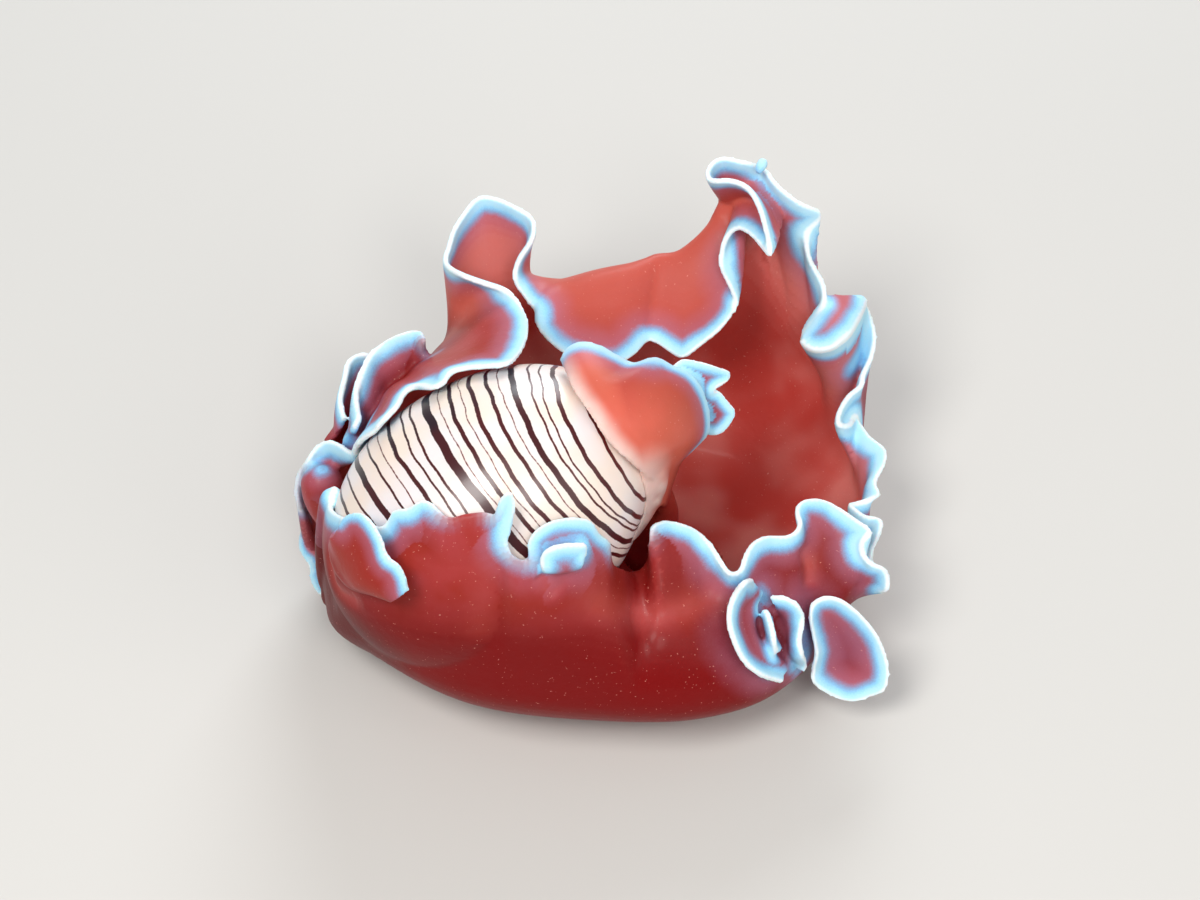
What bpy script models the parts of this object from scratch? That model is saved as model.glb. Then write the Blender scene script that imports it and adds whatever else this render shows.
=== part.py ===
"""Brown-lined paper bubble (Hydatina physis), life size, one still pose.

Sizes are in millimetres. The origin is the centre of the sole's flat
underside, +Z is up, +X runs to the tail and -X to the head. -Y is the
animal's left side, which is the near wall in the reference view, and +Y is
its right side.

The foot is one wide sheet that turns up all round into a bowl. Its frilled
edge is given fold by fold, as image column, image row and height, and a fold
that lies on the shell is given as column, row and distance off the shell.
"""
import bpy
from math import cos, pi, radians, sin
from mathutils import Vector
from mathutils.bvhtree import BVHTree
import numpy as np

# One millimetre in Blender's metres
MM = 0.001

# The reference view: camera height angle, scale in the image and distance
VIEW_ELEVATION = radians(50.0)
MM_PER_PIXEL = 0.108
IMAGE_CENTRE = (600.0, 450.0)
VIEW_DISTANCE = 340.0
VIEW_TARGET = np.array((0.0, 5.0, 16.0))

# The shell: an egg about a tilted axis that points to the spire
SHELL_CENTRE = np.array((-12.8, -8.7, 21.1))
SHELL_AXIS = np.array((0.773, 0.278, 0.571))
SHELL_RADIUS = 14.0
SHELL_REAR_LENGTH = 20.0
SHELL_FRONT_LENGTH = 16.0
WHORL_GROWTH = 0.09
LIP_TOWARDS = np.array((0.0, 0.5, -0.87))
SPIRE_RADIUS = 3.4
SPIRE_DEPTH = 1.4

# Gap between parts, and how far the foot stays off the shell
GAP = 0.3
SHELL_CLEARANCE = 0.5

# The oval sole, the body's oval root on it and the foot's thicknesses
SOLE_LENGTH = 44.0
SOLE_WIDTH = 32.0
SOLE_THICKNESS = 2.2
BODY_ROOT_CENTRE = (-5.5, -5.0)
BODY_ROOT_HALF_SIZE = (10.5, 8.0)
WALL_THICKNESS_BASE = 1.6
WALL_THICKNESS_MARGIN = 0.8
THINNEST = 0.5
SETTLE_ROUNDS = 120

# Steps along the foot's edge and rows up its wall
MARGIN_STEP = 2.5
MARGIN_ROUNDING = 3.2
LOWER_ROWS = 3
UPPER_ROWS = 5
# Frills are worked in over the upper wall: width of the smooth course
# that they stand off, and how quickly they grow towards the edge
FRILL_WIDTH = 11.0
FRILL_GROWTH = 1.5
# Between these azimuths of the near wall the frills begin nearer the edge
NEAR_FRILL_GROWTH = 1.6
NEAR_FRILLS = (240, 330)
# How steeply the wall leaves the floor beside the sole
BASE_SLOPE = 0.7

# The wall's shoulder round the foot: azimuth in degrees from the tail,
# then its x, y and height, and how far the wall leans in there in degrees
SHOULDER = (
    (0, 28.0, 0.0, 8.0, -35),
    (30, 26.5, 11.5, 9.5, -30),
    (55, 19.5, 20.5, 13.5, -12),
    (75, 9.0, 23.0, 17.5, 0),
    (90, 0.0, 23.5, 19.5, 5),
    (110, -9.5, 22.6, 18.0, 0),
    (130, -17.6, 17.6, 14.5, 5),
    (150, -23.4, 11.0, 12.0, 5),
    (165, -28.0, 5.6, 8.5, -15),
    (178, -29.6, 1.5, 2.8, -60),
    (190, -28.8, -2.0, 2.0, -60),
    (202, -28.4, -5.0, 2.4, -35),
    (212, -28.5, -11.0, 8.0, 0),
    (225, -24.6, -16.8, 12.5, 0),
    (245, -15.0, -23.0, 13.0, 5),
    (270, 0.0, -25.0, 12.0, 8),
    (290, 10.5, -24.2, 10.5, 8),
    (303, 16.5, -21.6, 9.0, 5),
    (315, 20.8, -17.8, 8.0, 0),
    (328, 24.2, -12.8, 7.5, -8),
    (342, 26.5, -6.5, 7.5, -25),
)

ON_SHELL = "on the shell"
ON_WALL = "on the foot's wall"
SEEN = "seen on the wall"
ROUND = "by azimuth and height"
AT_HEIGHT = "at a height"

# Each fold of the margin: name, azimuths of its root, lean of the sheet at
# its edge (0 up, 90 inwards, -90 outwards), kind of third value, and points
FOLDS = (
    ("tail_edge_lower", 342, 356, -65, AT_HEIGHT,
     ((872, 556, 12), (879, 538, 13.5), (883, 525, 14), (880, 517, 14),
      (866, 516, 14), (853, 506, 14), (849, 504, 14), (858, 503, 13.5))),
    ("tail_edge_middle", 356, 372, -65, AT_HEIGHT,
     ((871, 500, 13.5), (881, 496, 14), (876, 482, 14), (885, 466, 14.5),
      (887, 450, 15), (878, 442, 15), (870, 436, 15), (862, 424, 15),
      (855, 416, 15.5))),
    ("tail_edge_upper", 372, 383, -25, AT_HEIGHT,
     ((851, 424, 16.5), (838, 424, 17.5), (841, 408, 18), (851, 393, 18.5),
      (863, 384, 18.5), (863, 376, 18.5))),
    ("right_rear_low_lobe", 383, 390, -25, AT_HEIGHT,
     ((872, 356, 18.5), (876, 338, 19.5), (873, 320, 20.5))),
    ("right_rear_small_lobe", 390, 398, 5, AT_HEIGHT,
     ((866, 304, 22.0), (858, 317, 23.2), (847, 335, 23.8), (831, 348, 23.5),
      (812, 349, 23.5), (801, 340, 23.5))),
    ("right_rear_tall_lobe", 398, 418, 0, AT_HEIGHT,
     ((818, 317, 24), (825, 289, 26), (809, 255, 29), (807, 232, 31),
      (822, 213, 33), (800, 202, 35), (777, 184, 36.5), (762, 166, 37),
      (743, 161, 38), (720, 157, 38), (708, 168, 38))),
    ("right_rear_tongue", 418, 426, 40, AT_HEIGHT,
     ((711, 180, 39), (730, 180, 39.5), (747, 187, 39), (759, 207, 38),
      (766, 232, 36.5), (770, 257, 35.5))),
    ("right_rear_curl", 426, 442, 105, AT_HEIGHT,
     ((752, 237, 35), (736, 229, 34.5), (724, 243, 33), (720, 268, 31),
      (729, 287, 30), (736, 307, 28), (724, 326, 27), (698, 348, 25),
      (682, 359, 24), (669, 352, 24), (649, 341, 24), (636, 354, 24))),
    ("right_middle_curl", 442, 464, 122, AT_HEIGHT,
     ((618, 364, 24), (590, 362, 24), (564, 354, 24.5), (550, 343, 25),
      (538, 330, 26), (536, 314, 26), (524, 298, 27), (514, 280, 27.5))),
    ("right_front_tall_lobe", 464, 486, 10, AT_HEIGHT,
     ((519, 260, 29), (533, 238, 31), (533, 218, 31.5), (517, 207, 32),
      (497, 198, 32), (479, 196, 32), (463, 214, 31), (453, 231, 30.5),
      (449, 246, 30), (445, 260, 29.8))),
    ("right_front_curl", 486, 496, 80, AT_HEIGHT,
     ((462, 275, 31.5), (488, 285, 31), (512, 294, 31), (526, 314, 31),
      (528, 336, 32.5), (519, 356, 35))),
    ("right_shell_edge", 496, 512, 50, ON_SHELL,
     ((506, 365, 1.0), (488, 367, 1.0), (470, 368, 1.0), (452, 372, 1.2),
      (445, 383, 1.0), (434, 388, 1.0), (419, 385, 1.2), (407, 391, 1.2),
      (398, 406, 1.0), (386, 418, 1.3))),
    ("front_fold", 512, 538, 10, AT_HEIGHT,
     ((376, 430, 31), (367, 443, 28), (359, 451, 25), (350, 451, 23),
      (340, 444, 22), (327, 440, 21), (316, 446, 20), (308, 458, 19))),
    ("front_corner", 538, 546, -10, AT_HEIGHT,
     ((299, 469, 17), (295, 488, 15), (297, 504, 13), (303, 512, 10.5),
      (303, 523, 8))),
    ("front_edge", 546, 563, -70, AT_HEIGHT,
     ((299, 536, 6), (298, 546, 5), (304, 559, 4), (310, 567, 4),
      (309, 577, 3.2), (314, 588, 3.2), (319, 595, 3.6))),
    ("left_front_edge", 563, 569, 0, AT_HEIGHT,
     ((322, 592, 5), (322, 576, 8), (323, 550, 12), (327, 520, 17))),
    ("left_front_knobs", 569, 577, 30, AT_HEIGHT,
     ((329, 504, 20), (333, 492, 21), (339, 491, 22), (344, 496, 22),
      (350, 488, 23), (354, 493, 23), (351, 505, 23))),
    ("left_front_fold", 577, 589, 20, ON_SHELL,
     ((345, 518, 1.6), (356, 514, 1.6), (367, 519, 1.6), (376, 527, 1.4))),
    ("left_front_lobe", 589, 600, 60, ON_SHELL,
     ((385, 525, 1.2), (393, 510, 1.2), (409, 508, 1.2), (423, 499, 1.2),
      (434, 504, 1.1))),
    ("left_middle_edge", 600, 612, 70, ON_SHELL,
     ((448, 517, 1.1), (469, 513, 1.1), (487, 512, 1.2))),
    ("left_middle_tongue", 612, 616, 30, ON_SHELL,
     ((497, 515, 1.4), (504, 493, 2.6), (513, 491, 2.8), (515, 505, 2.4),
      (507, 527, 1.6), (506, 543, 1.4))),
    ("left_middle_roll", 616, 634, 60, ON_SHELL,
     ((513, 555, 1.4), (523, 560, 1.3), (531, 560, 1.3), (531, 550, 1.3),
      (528, 541, 1.2), (534, 531, 1.2), (550, 521, 1.2), (573, 517, 1.4),
      (592, 521, 1.4), (597, 531, 1.3), (608, 541, 1.3), (609, 553, 1.2))),
    ("left_rear_notch", 634, 641, 60, ON_SHELL,
     ((611, 563, 1.2), (621, 569, 1.2), (632, 572, 1.2), (643, 569, 1.4),
      (650, 557, 1.8), (650, 541, 2.2))),
    ("left_rear_lobe", 641, 659, 30, AT_HEIGHT,
     ((650, 528, 25), (657, 522, 25), (668, 520, 24.5), (685, 524, 24),
      (700, 532, 23), (712, 545, 22.5), (722, 563, 22), (729, 573, 21.5))),
    ("tail_left_lobe", 659, 698, 30, AT_HEIGHT,
     ((740, 570, 21), (746, 552, 21), (754, 541, 21), (768, 535, 20.5),
      (784, 536, 20), (796, 531, 20), (800, 520, 20), (795, 509, 20),
      (802, 500, 20), (814, 498, 20), (828, 501, 19.5), (842, 509, 19),
      (858, 520, 18.5), (872, 531, 18), (861, 541, 17.5), (862, 553, 16.5),
      (873, 564, 16), (884, 567, 15.5), (889, 580, 14), (886, 594, 12.5))),
)

# Where the foot sheet is parted into named parts: first fold of each part
PARTS = (
    ("tail", "tail_edge_lower"),
    ("parapodium_right_rear", "right_rear_low_lobe"),
    ("parapodium_right_curl", "right_rear_curl"),
    ("parapodium_right_middle", "right_middle_curl"),
    ("parapodium_right_front", "right_front_tall_lobe"),
    ("parapodium_right_edge", "right_shell_edge"),
    ("foot_front", "front_fold"),
    ("parapodium_left_front", "left_front_edge"),
    ("parapodium_left_middle", "left_front_lobe"),
    ("parapodium_left_roll", "left_middle_roll"),
    ("parapodium_left_rear", "left_rear_lobe"),
    ("tail_left", "tail_left_lobe"),
)

# Sheets that grow from the outer face of the foot: name, kind of third
# value, extra mm off the foot, bulge in mm, points of the free edge, kind of
# root and its points, as azimuth and share of the wall's height or as seen
SHEETS = (
    ("front_leaf_inner", AT_HEIGHT, 0.0, (-0.6, 0.4, 0.8),
     ((427, 345, 27.5), (423, 333, 27.5), (415, 330, 27.5), (402, 333, 27.5),
      (386, 340, 27.2), (371, 353, 26.8), (361, 373, 26.2), (357, 395, 25.6),
      (361, 418, 25.2), (370, 438, 25.4)),
     ROUND, ((126, 0.62), (133, 0.62), (141, 0.62), (149, 0.62),
             (156, 0.64), (161, 0.7))),
    ("front_leaf_outer", AT_HEIGHT, 1.3, (-0.8, 0.4, 0.4),
     ((372, 356, 22.8), (365, 354, 23), (357, 354, 23), (349, 360, 23),
      (345, 378, 22.8), (341, 400, 22.4), (347, 422, 22), (356, 436, 22)),
     ROUND, ((143, 0.44), (149, 0.46), (155, 0.48), (161, 0.52),
             (165, 0.55))),
    ("left_front_flap", ON_SHELL, 0.0, (-1.0, -1.5, 0.0),
     ((345, 521, 3.4), (351, 514, 3.6), (361, 513, 3.7), (372, 522, 3.9),
      (382, 539, 4.1), (388, 556, 4.2), (399, 564, 4.2), (406, 576, 4.0),
      (409, 589, 3.6)),
     SEEN, ((343, 530), (340, 545), (340, 558), (344, 570), (353, 580),
            (366, 587), (384, 592), (402, 593))),
    ("left_roll_flap", ON_SHELL, 0.0, (0.0, -0.3, 0.2),
     ((537, 565, 2.6), (541, 556, 3.2), (552, 550, 3.5), (566, 546, 3.6),
      (580, 543, 3.6), (590, 546, 3.4), (586, 554, 3.2)),
     SEEN, ((540, 570), (549, 572), (559, 571), (569, 567), (579, 562))),
    ("tail_crescent", ON_WALL, 0.0, (0.0, 0.0, 0.0),
     ((751, 578, 2.2), (744, 582, 3.0), (733, 596, 3.6), (728, 618, 3.8),
      (733, 640, 3.6), (744, 662, 3.2), (761, 676, 2.8), (783, 683, 2.2)),
     SEEN, ((754, 592), (750, 604), (748, 618), (750, 632), (757, 645),
            (767, 654), (779, 661))),
    ("tail_fold_inner", ON_WALL, 0.0, (0.0, -0.2, 0.0),
     ((764, 608, 1.8), (768, 614, 2.6), (772, 627, 3.0), (775, 644, 2.8),
      (777, 653, 2.0)),
     SEEN, ((763, 616), (764, 625), (766, 634), (769, 641), (773, 647))),
    ("tail_fold", ON_WALL, 0.0, (0.0, -0.4, 0.0),
     ((770, 596, 1.8), (778, 596, 2.6), (788, 598, 3.2), (799, 605, 3.4),
      (804, 616, 3.4), (802, 628, 3.2), (800, 641, 3.0), (803, 653, 2.6),
      (807, 662, 2.2), (805, 670, 1.8)),
     SEEN, ((777, 608), (782, 614), (785, 624), (786, 634), (787, 644),
            (790, 652), (795, 660))),
)
SHEET_THICKNESS = 0.8
SHEET_STEP = 1.6
SHEET_ROWS = 5

# The cup beside the tail: its rim, how far it is sunk, the way its back
# faces, and its stalk as distance behind the cup and radius
CUP_RIM = ((811, 605, 16), (818, 599, 16.5), (829, 596, 16.5),
           (843, 600, 16), (861, 614, 14.5), (876, 632, 12.5),
           (885, 650, 10.5), (890, 672, 8.2), (885, 690, 6.2), (870, 697, 5.2),
           (852, 702, 4.8), (836, 698, 5.2), (824, 692, 6), (812, 682, 7.5),
           (812, 670, 9), (815, 654, 11), (812, 636, 13), (809, 619, 15))
CUP_DEPTH = 1.6
CUP_BACK = np.array((-0.30, 0.88, -0.37))
CUP_STALK = ((0.7, 1.6), (2.2, 1.2))

# The mantle lobe over the spire: the edge that lies on the shell, and the
# free edge, which turns down beside the shell
MANTLE_NEAR_EDGE = ((563, 364, 0.8), (566, 374, 0.8), (574, 392, 0.8),
                    (589, 414, 0.8), (607, 441, 0.8), (625, 459, 0.8),
                    (647, 478, 0.8), (658, 491, 0.9), (657, 504, 1.0))
MANTLE_FREE_EDGE = ((565, 358, 36.3), (570, 349, 37.0), (582, 344, 37.4),
                    (598, 347, 37.2), (614, 356, 36.4), (634, 366, 35.4),
                    (645, 363, 35.0), (657, 360, 34.6), (670, 367, 33.8),
                    (686, 374, 32.8), (697, 385, 31.6), (704, 401, 30.0),
                    (707, 416, 28.5), (706, 430, 27.0), (692, 446, 24.0),
                    (679, 459, 21.8), (672, 477, 19.0), (667, 492, 16.6),
                    (662, 507, 14.6))
MANTLE_RISE = 2.6
MANTLE_THICKNESS = 1.0
# The ear behind the lobe, from its root to its edge
MANTLE_EAR_ROOT = ((667, 376, 32.2), (682, 386, 30.8), (692, 399, 29.2),
                   (698, 413, 27.4), (701, 426, 25.8))
MANTLE_EAR = ((670, 368, 32.8), (682, 359, 33.4), (697, 361, 33.0),
              (715, 366, 32.0), (731, 373, 30.8), (728, 381, 30.4),
              (717, 387, 30.2), (714, 391, 29.8), (719, 391, 29.4),
              (728, 401, 28.4), (736, 412, 27.2), (732, 422, 26.4),
              (724, 432, 25.8), (714, 436, 25.6), (706, 433, 25.4))
# The mantle's hem beside the shell, swept back round the shell
MANTLE_HEM = ((652, 524, 0.9), (648, 530, 0.9), (641, 540, 0.9),
              (630, 552, 0.9))
MANTLE_HEM_SWEEP = radians(48.0)
MANTLE_HEM_THICKNESS = 1.1

# The head under the front folds, as in the species
HEAD_CENTRE = np.array((-23.8, -0.5, 5.8))
HEAD_HALF_SIZE = np.array((4.0, 4.4, 2.7))
EYE_RADIUS = 0.45
EYE_PLACES = (("eye_left", (-0.2, -1.6)), ("eye_right", (-0.2, 1.6)))
# Lobes of the head shield, each from its root on the head to its edge
HEAD_LOBES = (
    ("head_shield_left",
     ((-24.6, -4.0, 8.0), (-24.8, -3.4, 8.4), (-24.6, -2.8, 8.7)),
     ((-26.6, -5.8, 9.4), (-27.1, -4.8, 11.4), (-27.0, -3.8, 12.2),
      (-26.4, -3.2, 11.6))),
)

# The right lobe of the head shield is rolled to a blunt hood: x, y, z, radius
HOOD = ((-26.0, -0.8, 9.2, 1.4), (-27.8, -0.9, 10.8, 1.6),
        (-28.9, -0.6, 13.6, 1.7), (-29.0, -0.4, 16.2, 1.7),
        (-28.9, -0.2, 17.8, 1.5))
# The stalk of flesh that carries the mantle beside the shell
TRUNK = ((7.1, -1.2, 13.6, 1.3), (6.7, -1.6, 11.6, 1.8),
         (5.9, -2.2, 9.6, 2.0))

VIEW_RIGHT = np.array((1.0, 0.0, 0.0))
VIEW_UP = np.array((0.0, sin(VIEW_ELEVATION), cos(VIEW_ELEVATION)))
VIEW_BACK = np.array((0.0, -cos(VIEW_ELEVATION), sin(VIEW_ELEVATION)))
VIEW_POINT = VIEW_TARGET + VIEW_DISTANCE * VIEW_BACK
SHELL_AXIS = SHELL_AXIS / np.linalg.norm(SHELL_AXIS)
UP = np.array((0.0, 0.0, 1.0))


def unit(vectors):
    vectors = np.asarray(vectors, float)
    length = np.linalg.norm(vectors, axis=-1, keepdims=True)
    return vectors / np.maximum(length, 1e-9)


def sight_line(column, row):
    """Direction from the viewer through a point of the reference image."""
    across = (column - IMAGE_CENTRE[0]) * MM_PER_PIXEL
    upwards = (IMAGE_CENTRE[1] - row) * MM_PER_PIXEL
    seen = VIEW_TARGET + across * VIEW_RIGHT + upwards * VIEW_UP
    return unit(seen - VIEW_POINT)


def point_at_height(column, row, height):
    line = sight_line(column, row)
    return VIEW_POINT + line * (height - VIEW_POINT[2]) / line[2]


def shell_level(points, lift):
    """Below 1 inside the shell grown by lift, 1 on it, above 1 outside."""
    lift = np.asarray(lift)
    offset = np.asarray(points) - SHELL_CENTRE
    along = offset @ SHELL_AXIS
    side = offset - along[..., None] * SHELL_AXIS
    length = np.where(along > 0, SHELL_REAR_LENGTH, SHELL_FRONT_LENGTH)
    across = np.linalg.norm(side, axis=-1) / (SHELL_RADIUS + lift)
    return (along / (length + lift)) ** 2 + across ** 2


def point_on_shell(column, row, lift):
    """First point of the grown shell on a sight line, or the nearest one."""
    steps = np.linspace(VIEW_DISTANCE - 70.0, VIEW_DISTANCE + 50.0, 2401)
    points = VIEW_POINT + steps[:, None] * sight_line(column, row)
    level = shell_level(points, lift)
    hit = np.argmax(level < 1) if (level < 1).any() else np.argmin(level)
    return points[hit]


def clear_of_shell(points, lift):
    """Move points that lie inside the grown shell straight out to it."""
    points = np.array(points, float)
    for _ in range(3):
        level = shell_level(points, lift)
        short = level < 1
        if not short.any():
            break
        outward = np.where(short, 1 / np.sqrt(np.maximum(level, 1e-6)), 1.0)
        points = SHELL_CENTRE + (points - SHELL_CENTRE) * outward[..., None]
    return points


def curve_through(points, count):
    """Points at equal steps on a smooth open curve through given points."""
    points = np.asarray(points, float)
    first = 2 * points[0] - points[1]
    last = 2 * points[-1] - points[-2]
    padded = np.vstack((first, points, last))
    fine = []
    for p0, p1, p2, p3 in zip(padded, padded[1:], padded[2:], padded[3:]):
        fine.extend(blend_span(p0, p1, p2, p3, 12)[:-1])
    fine.append(points[-1])
    return even_steps(np.array(fine), count)


def blend_span(p0, p1, p2, p3, steps):
    """One centripetal span from p1 to p2."""
    knots = [0.0]
    for a, b in ((p0, p1), (p1, p2), (p2, p3)):
        knots.append(knots[-1] + max(np.linalg.norm(b - a), 1e-6) ** 0.5)
    t0, t1, t2, t3 = knots
    t = np.linspace(t1, t2, steps + 1)[:, None]
    a1 = (t1 - t) / (t1 - t0) * p0 + (t - t0) / (t1 - t0) * p1
    a2 = (t2 - t) / (t2 - t1) * p1 + (t - t1) / (t2 - t1) * p2
    a3 = (t3 - t) / (t3 - t2) * p2 + (t - t2) / (t3 - t2) * p3
    b1 = (t2 - t) / (t2 - t0) * a1 + (t - t0) / (t2 - t0) * a2
    b2 = (t3 - t) / (t3 - t1) * a2 + (t - t1) / (t3 - t1) * a3
    return (t2 - t) / (t2 - t1) * b1 + (t - t1) / (t2 - t1) * b2


def even_steps(points, count):
    """Resample a polyline to count points at equal distances."""
    length = np.linalg.norm(np.diff(points[:, :3], axis=0), axis=1)
    along = np.concatenate(([0.0], np.cumsum(length)))
    wanted = np.linspace(0.0, along[-1], count)
    return np.stack([np.interp(wanted, along, points[:, k])
                     for k in range(points.shape[1])], axis=1)


def shoulder_at(azimuths):
    """Shoulder x, y, z and lean at each azimuth, smooth and periodic."""
    table = np.array(SHOULDER, float)
    marks = np.concatenate((table[-2:, 0] - 360, table[:, 0],
                            table[:2, 0] + 360))
    values = np.vstack((table[-2:, 1:], table[:, 1:], table[:2, 1:]))
    slopes = np.gradient(values, marks, axis=0)
    wrapped = np.mod(azimuths, 360.0)
    spot = np.clip(np.searchsorted(marks, wrapped) - 1, 0, len(marks) - 2)
    width = (marks[spot + 1] - marks[spot])[:, None]
    t = (wrapped - marks[spot])[:, None] / width
    h00 = 2 * t ** 3 - 3 * t ** 2 + 1
    h10 = t ** 3 - 2 * t ** 2 + t
    h01 = -2 * t ** 3 + 3 * t ** 2
    h11 = t ** 3 - t ** 2
    return (h00 * values[spot] + h10 * width * slopes[spot]
            + h01 * values[spot + 1] + h11 * width * slopes[spot + 1])


def fold_points(kind, points):
    place = point_on_shell if kind == ON_SHELL else point_at_height
    return [place(*point) for point in points]


def margin_curve():
    """The whole frilled edge: points, root azimuths, leans, part starts."""
    corners, roots, leans, starts = [], [], [], {}
    for name, first, last, lean, kind, points in FOLDS:
        starts[name] = len(corners)
        placed = fold_points(kind, points)
        corners.extend(placed)
        spread = np.linspace(first, last, len(placed), endpoint=False)
        roots.extend(spread + 0.5 * (last - first) / len(placed))
        leans.extend([lean] * len(placed))
    corners = np.array(corners)
    count = len(corners)
    extra = np.column_stack((roots, leans))
    rows = []
    marks = []
    for k in range(count):
        spans = [corners[(k + d) % count] for d in (-1, 0, 1, 2)]
        piece = blend_span(*spans, 12)[:-1]
        part = np.linspace(0, 1, 13)[:-1, None]
        after = extra[(k + 1) % count] + (360.0, 0.0) * np.array(
            k == count - 1)
        values = extra[k] + (after - extra[k]) * part
        marks.append(len(rows))
        rows.extend(np.column_stack((piece, values)))
    rows = np.array(rows)
    return rows, {name: marks[at] for name, at in starts.items()}


def smooth_open(values, rounds):
    values = values.copy()
    for _ in range(rounds):
        values[1:-1] = (values[:-2] + 2 * values[1:-1] + values[2:]) / 4
    return values


def smooth_round(values, width):
    """Running mean round a closed row, the width in columns."""
    reach = int(round(2 * width))
    offsets = np.arange(-reach, reach + 1)
    weights = np.exp(-0.5 * (offsets / (0.5 * width)) ** 2)
    total = sum(w * np.roll(values, -k, axis=0)
                for k, w in zip(offsets, weights))
    return total / weights.sum()


def foot_columns(step):
    """Equal steps along the margin inside each part, ends shared."""
    rows, starts = margin_curve()
    closed = np.vstack((rows, rows[:1] + (0, 0, 0, 360.0, 0)))
    order = [starts[first] for _, first in PARTS] + [len(rows)]
    pieces = []
    for begin, end in zip(order, order[1:]):
        run = closed[begin:end + 1]
        length = np.linalg.norm(np.diff(run[:, :3], axis=0), axis=1).sum()
        pieces.append(even_steps(run, max(4, int(round(length / step)) + 1)))
    columns = np.vstack([piece[:-1] for piece in pieces])
    cuts = np.cumsum([0] + [len(piece) - 1 for piece in pieces])
    count = len(columns)
    tripled = np.vstack((columns - (0, 0, 0, 360.0, 0), columns,
                         columns + (0, 0, 0, 360.0, 0)))
    for k in (3, 4):
        tripled[:, k] = smooth_open(tripled[:, k], 6)
    return tripled[count:2 * count], cuts


def bezier(p0, p1, p2, p3, t):
    s = 1 - t
    return (s ** 3 * p0 + 3 * s ** 2 * t * p1
            + 3 * s * t ** 2 * p2 + t ** 3 * p3)


def foot_grid(step, lower_rows, upper_rows):
    """Middle surface of the turned-up foot: columns by rows by xyz."""
    columns, cuts = foot_columns(step)
    columns[:, :3] = smooth_round(columns[:, :3], MARGIN_ROUNDING / step)
    margin, azimuth, lean = columns[:, :3], columns[:, 3], columns[:, 4]
    angle = np.radians(azimuth)
    outward = unit(np.column_stack((np.cos(angle) * SOLE_WIDTH,
                                    np.sin(angle) * SOLE_LENGTH,
                                    0 * angle)))
    base = np.column_stack((np.cos(angle) * SOLE_LENGTH / 2,
                            np.sin(angle) * SOLE_WIDTH / 2,
                            0 * angle + WALL_THICKNESS_BASE / 2 + GAP))
    base = base + outward * GAP
    table = shoulder_at(azimuth)
    shoulder = table[:, :3]
    inward = -unit(shoulder * (0.6, 1.0, 0.0))
    tilt = np.radians(table[:, 3:4])
    rise = np.cos(tilt) * UP + np.sin(tilt) * inward
    edge = np.radians(lean)[:, None]
    finish = np.cos(edge) * UP + np.sin(edge) * inward
    reach = np.linalg.norm(shoulder - base, axis=1, keepdims=True)
    start = unit(outward + BASE_SLOPE * UP)
    grid = []
    for k in range(lower_rows):
        t = k / lower_rows
        grid.append(bezier(base, base + start * reach * 0.35,
                           shoulder - rise * reach * 0.35, shoulder, t))
    near = (angle % (2 * pi) > radians(NEAR_FRILLS[0])) & (
        angle % (2 * pi) < radians(NEAR_FRILLS[1]))
    near = smooth_round(near[:, None].astype(float), 5.0 / step)
    growth = FRILL_GROWTH + NEAR_FRILL_GROWTH * near
    course = smooth_round(margin, FRILL_WIDTH / step)
    finish = smooth_round(finish, FRILL_WIDTH / step)
    reach = np.linalg.norm(course - shoulder, axis=1, keepdims=True)
    for k in range(upper_rows + 1):
        t = k / upper_rows
        grid.append(bezier(shoulder, shoulder + rise * reach * 0.35,
                           course - finish * reach * 0.3, course, t)
                    + (margin - course) * t ** growth)
    grid = np.stack(grid, axis=1)
    rows = grid.shape[1]
    thickness = np.tile(wall_thickness(rows), (len(grid), 1))
    grid = clear_of_shell(grid, thickness / 2 + SHELL_CLEARANCE)
    grid, normals, thickness = settle(grid, thickness, True)
    return grid, normals, thickness, cuts, azimuth


def wall_thickness(rows):
    fall = np.linspace(0, 1, rows) ** 0.8
    return WALL_THICKNESS_BASE + fall * (WALL_THICKNESS_MARGIN
                                         - WALL_THICKNESS_BASE)


def grid_normals(grid, closed):
    """Unit normals of a grid of points, columns by rows."""
    if closed:
        along = np.roll(grid, -1, axis=0) - np.roll(grid, 1, axis=0)
    else:
        along = np.gradient(grid, axis=0)
    upwards = np.gradient(grid, axis=1)
    return unit(np.cross(along, upwards))


def grid_triangles(columns, rows, closed):
    """Triangles of a grid, all split along the same diagonal."""
    triangles = []
    for i in range(columns if closed else columns - 1):
        for j in range(rows - 1):
            a = i * rows + j
            b = (i + 1) % columns * rows + j
            triangles.append((a, b, b + 1))
            triangles.append((a, b + 1, a + 1))
    return triangles


def settle(middle, thickness, closed):
    """Ease a sheet where its two faces would run through each other."""
    columns, rows = middle.shape[:2]
    count = columns * rows
    triangles = grid_triangles(columns, rows, closed)
    both = triangles + [tuple(count + v for v in reversed(tri))
                        for tri in triangles]
    corners = np.array(both)
    for _ in range(SETTLE_ROUNDS):
        normals = grid_normals(middle, closed)
        if closed:
            normals[:, 0] = -UP
        half = thickness[..., None] / 2
        points = np.vstack(((middle + normals * half).reshape(-1, 3),
                            (middle - normals * half).reshape(-1, 3)))
        tree = BVHTree.FromPolygons(points.tolist(), both)
        tight = np.zeros(count, bool)
        for a, b in tree.overlap(tree):
            if a < b and not set(both[a]) & set(both[b]):
                tight[corners[a] % count] = True
                tight[corners[b] % count] = True
        if not tight.any():
            break
        tight = spread_mask(tight.reshape(columns, rows), closed)
        eased = neighbour_mean(middle, closed)
        middle = np.where(tight[..., None], 0.5 * (middle + eased), middle)
        thickness = np.where(tight, np.maximum(thickness * 0.97,
                                               THINNEST), thickness)
        middle = clear_of_shell(middle, thickness / 2 + SHELL_CLEARANCE)
    return middle, normals, thickness


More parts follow.
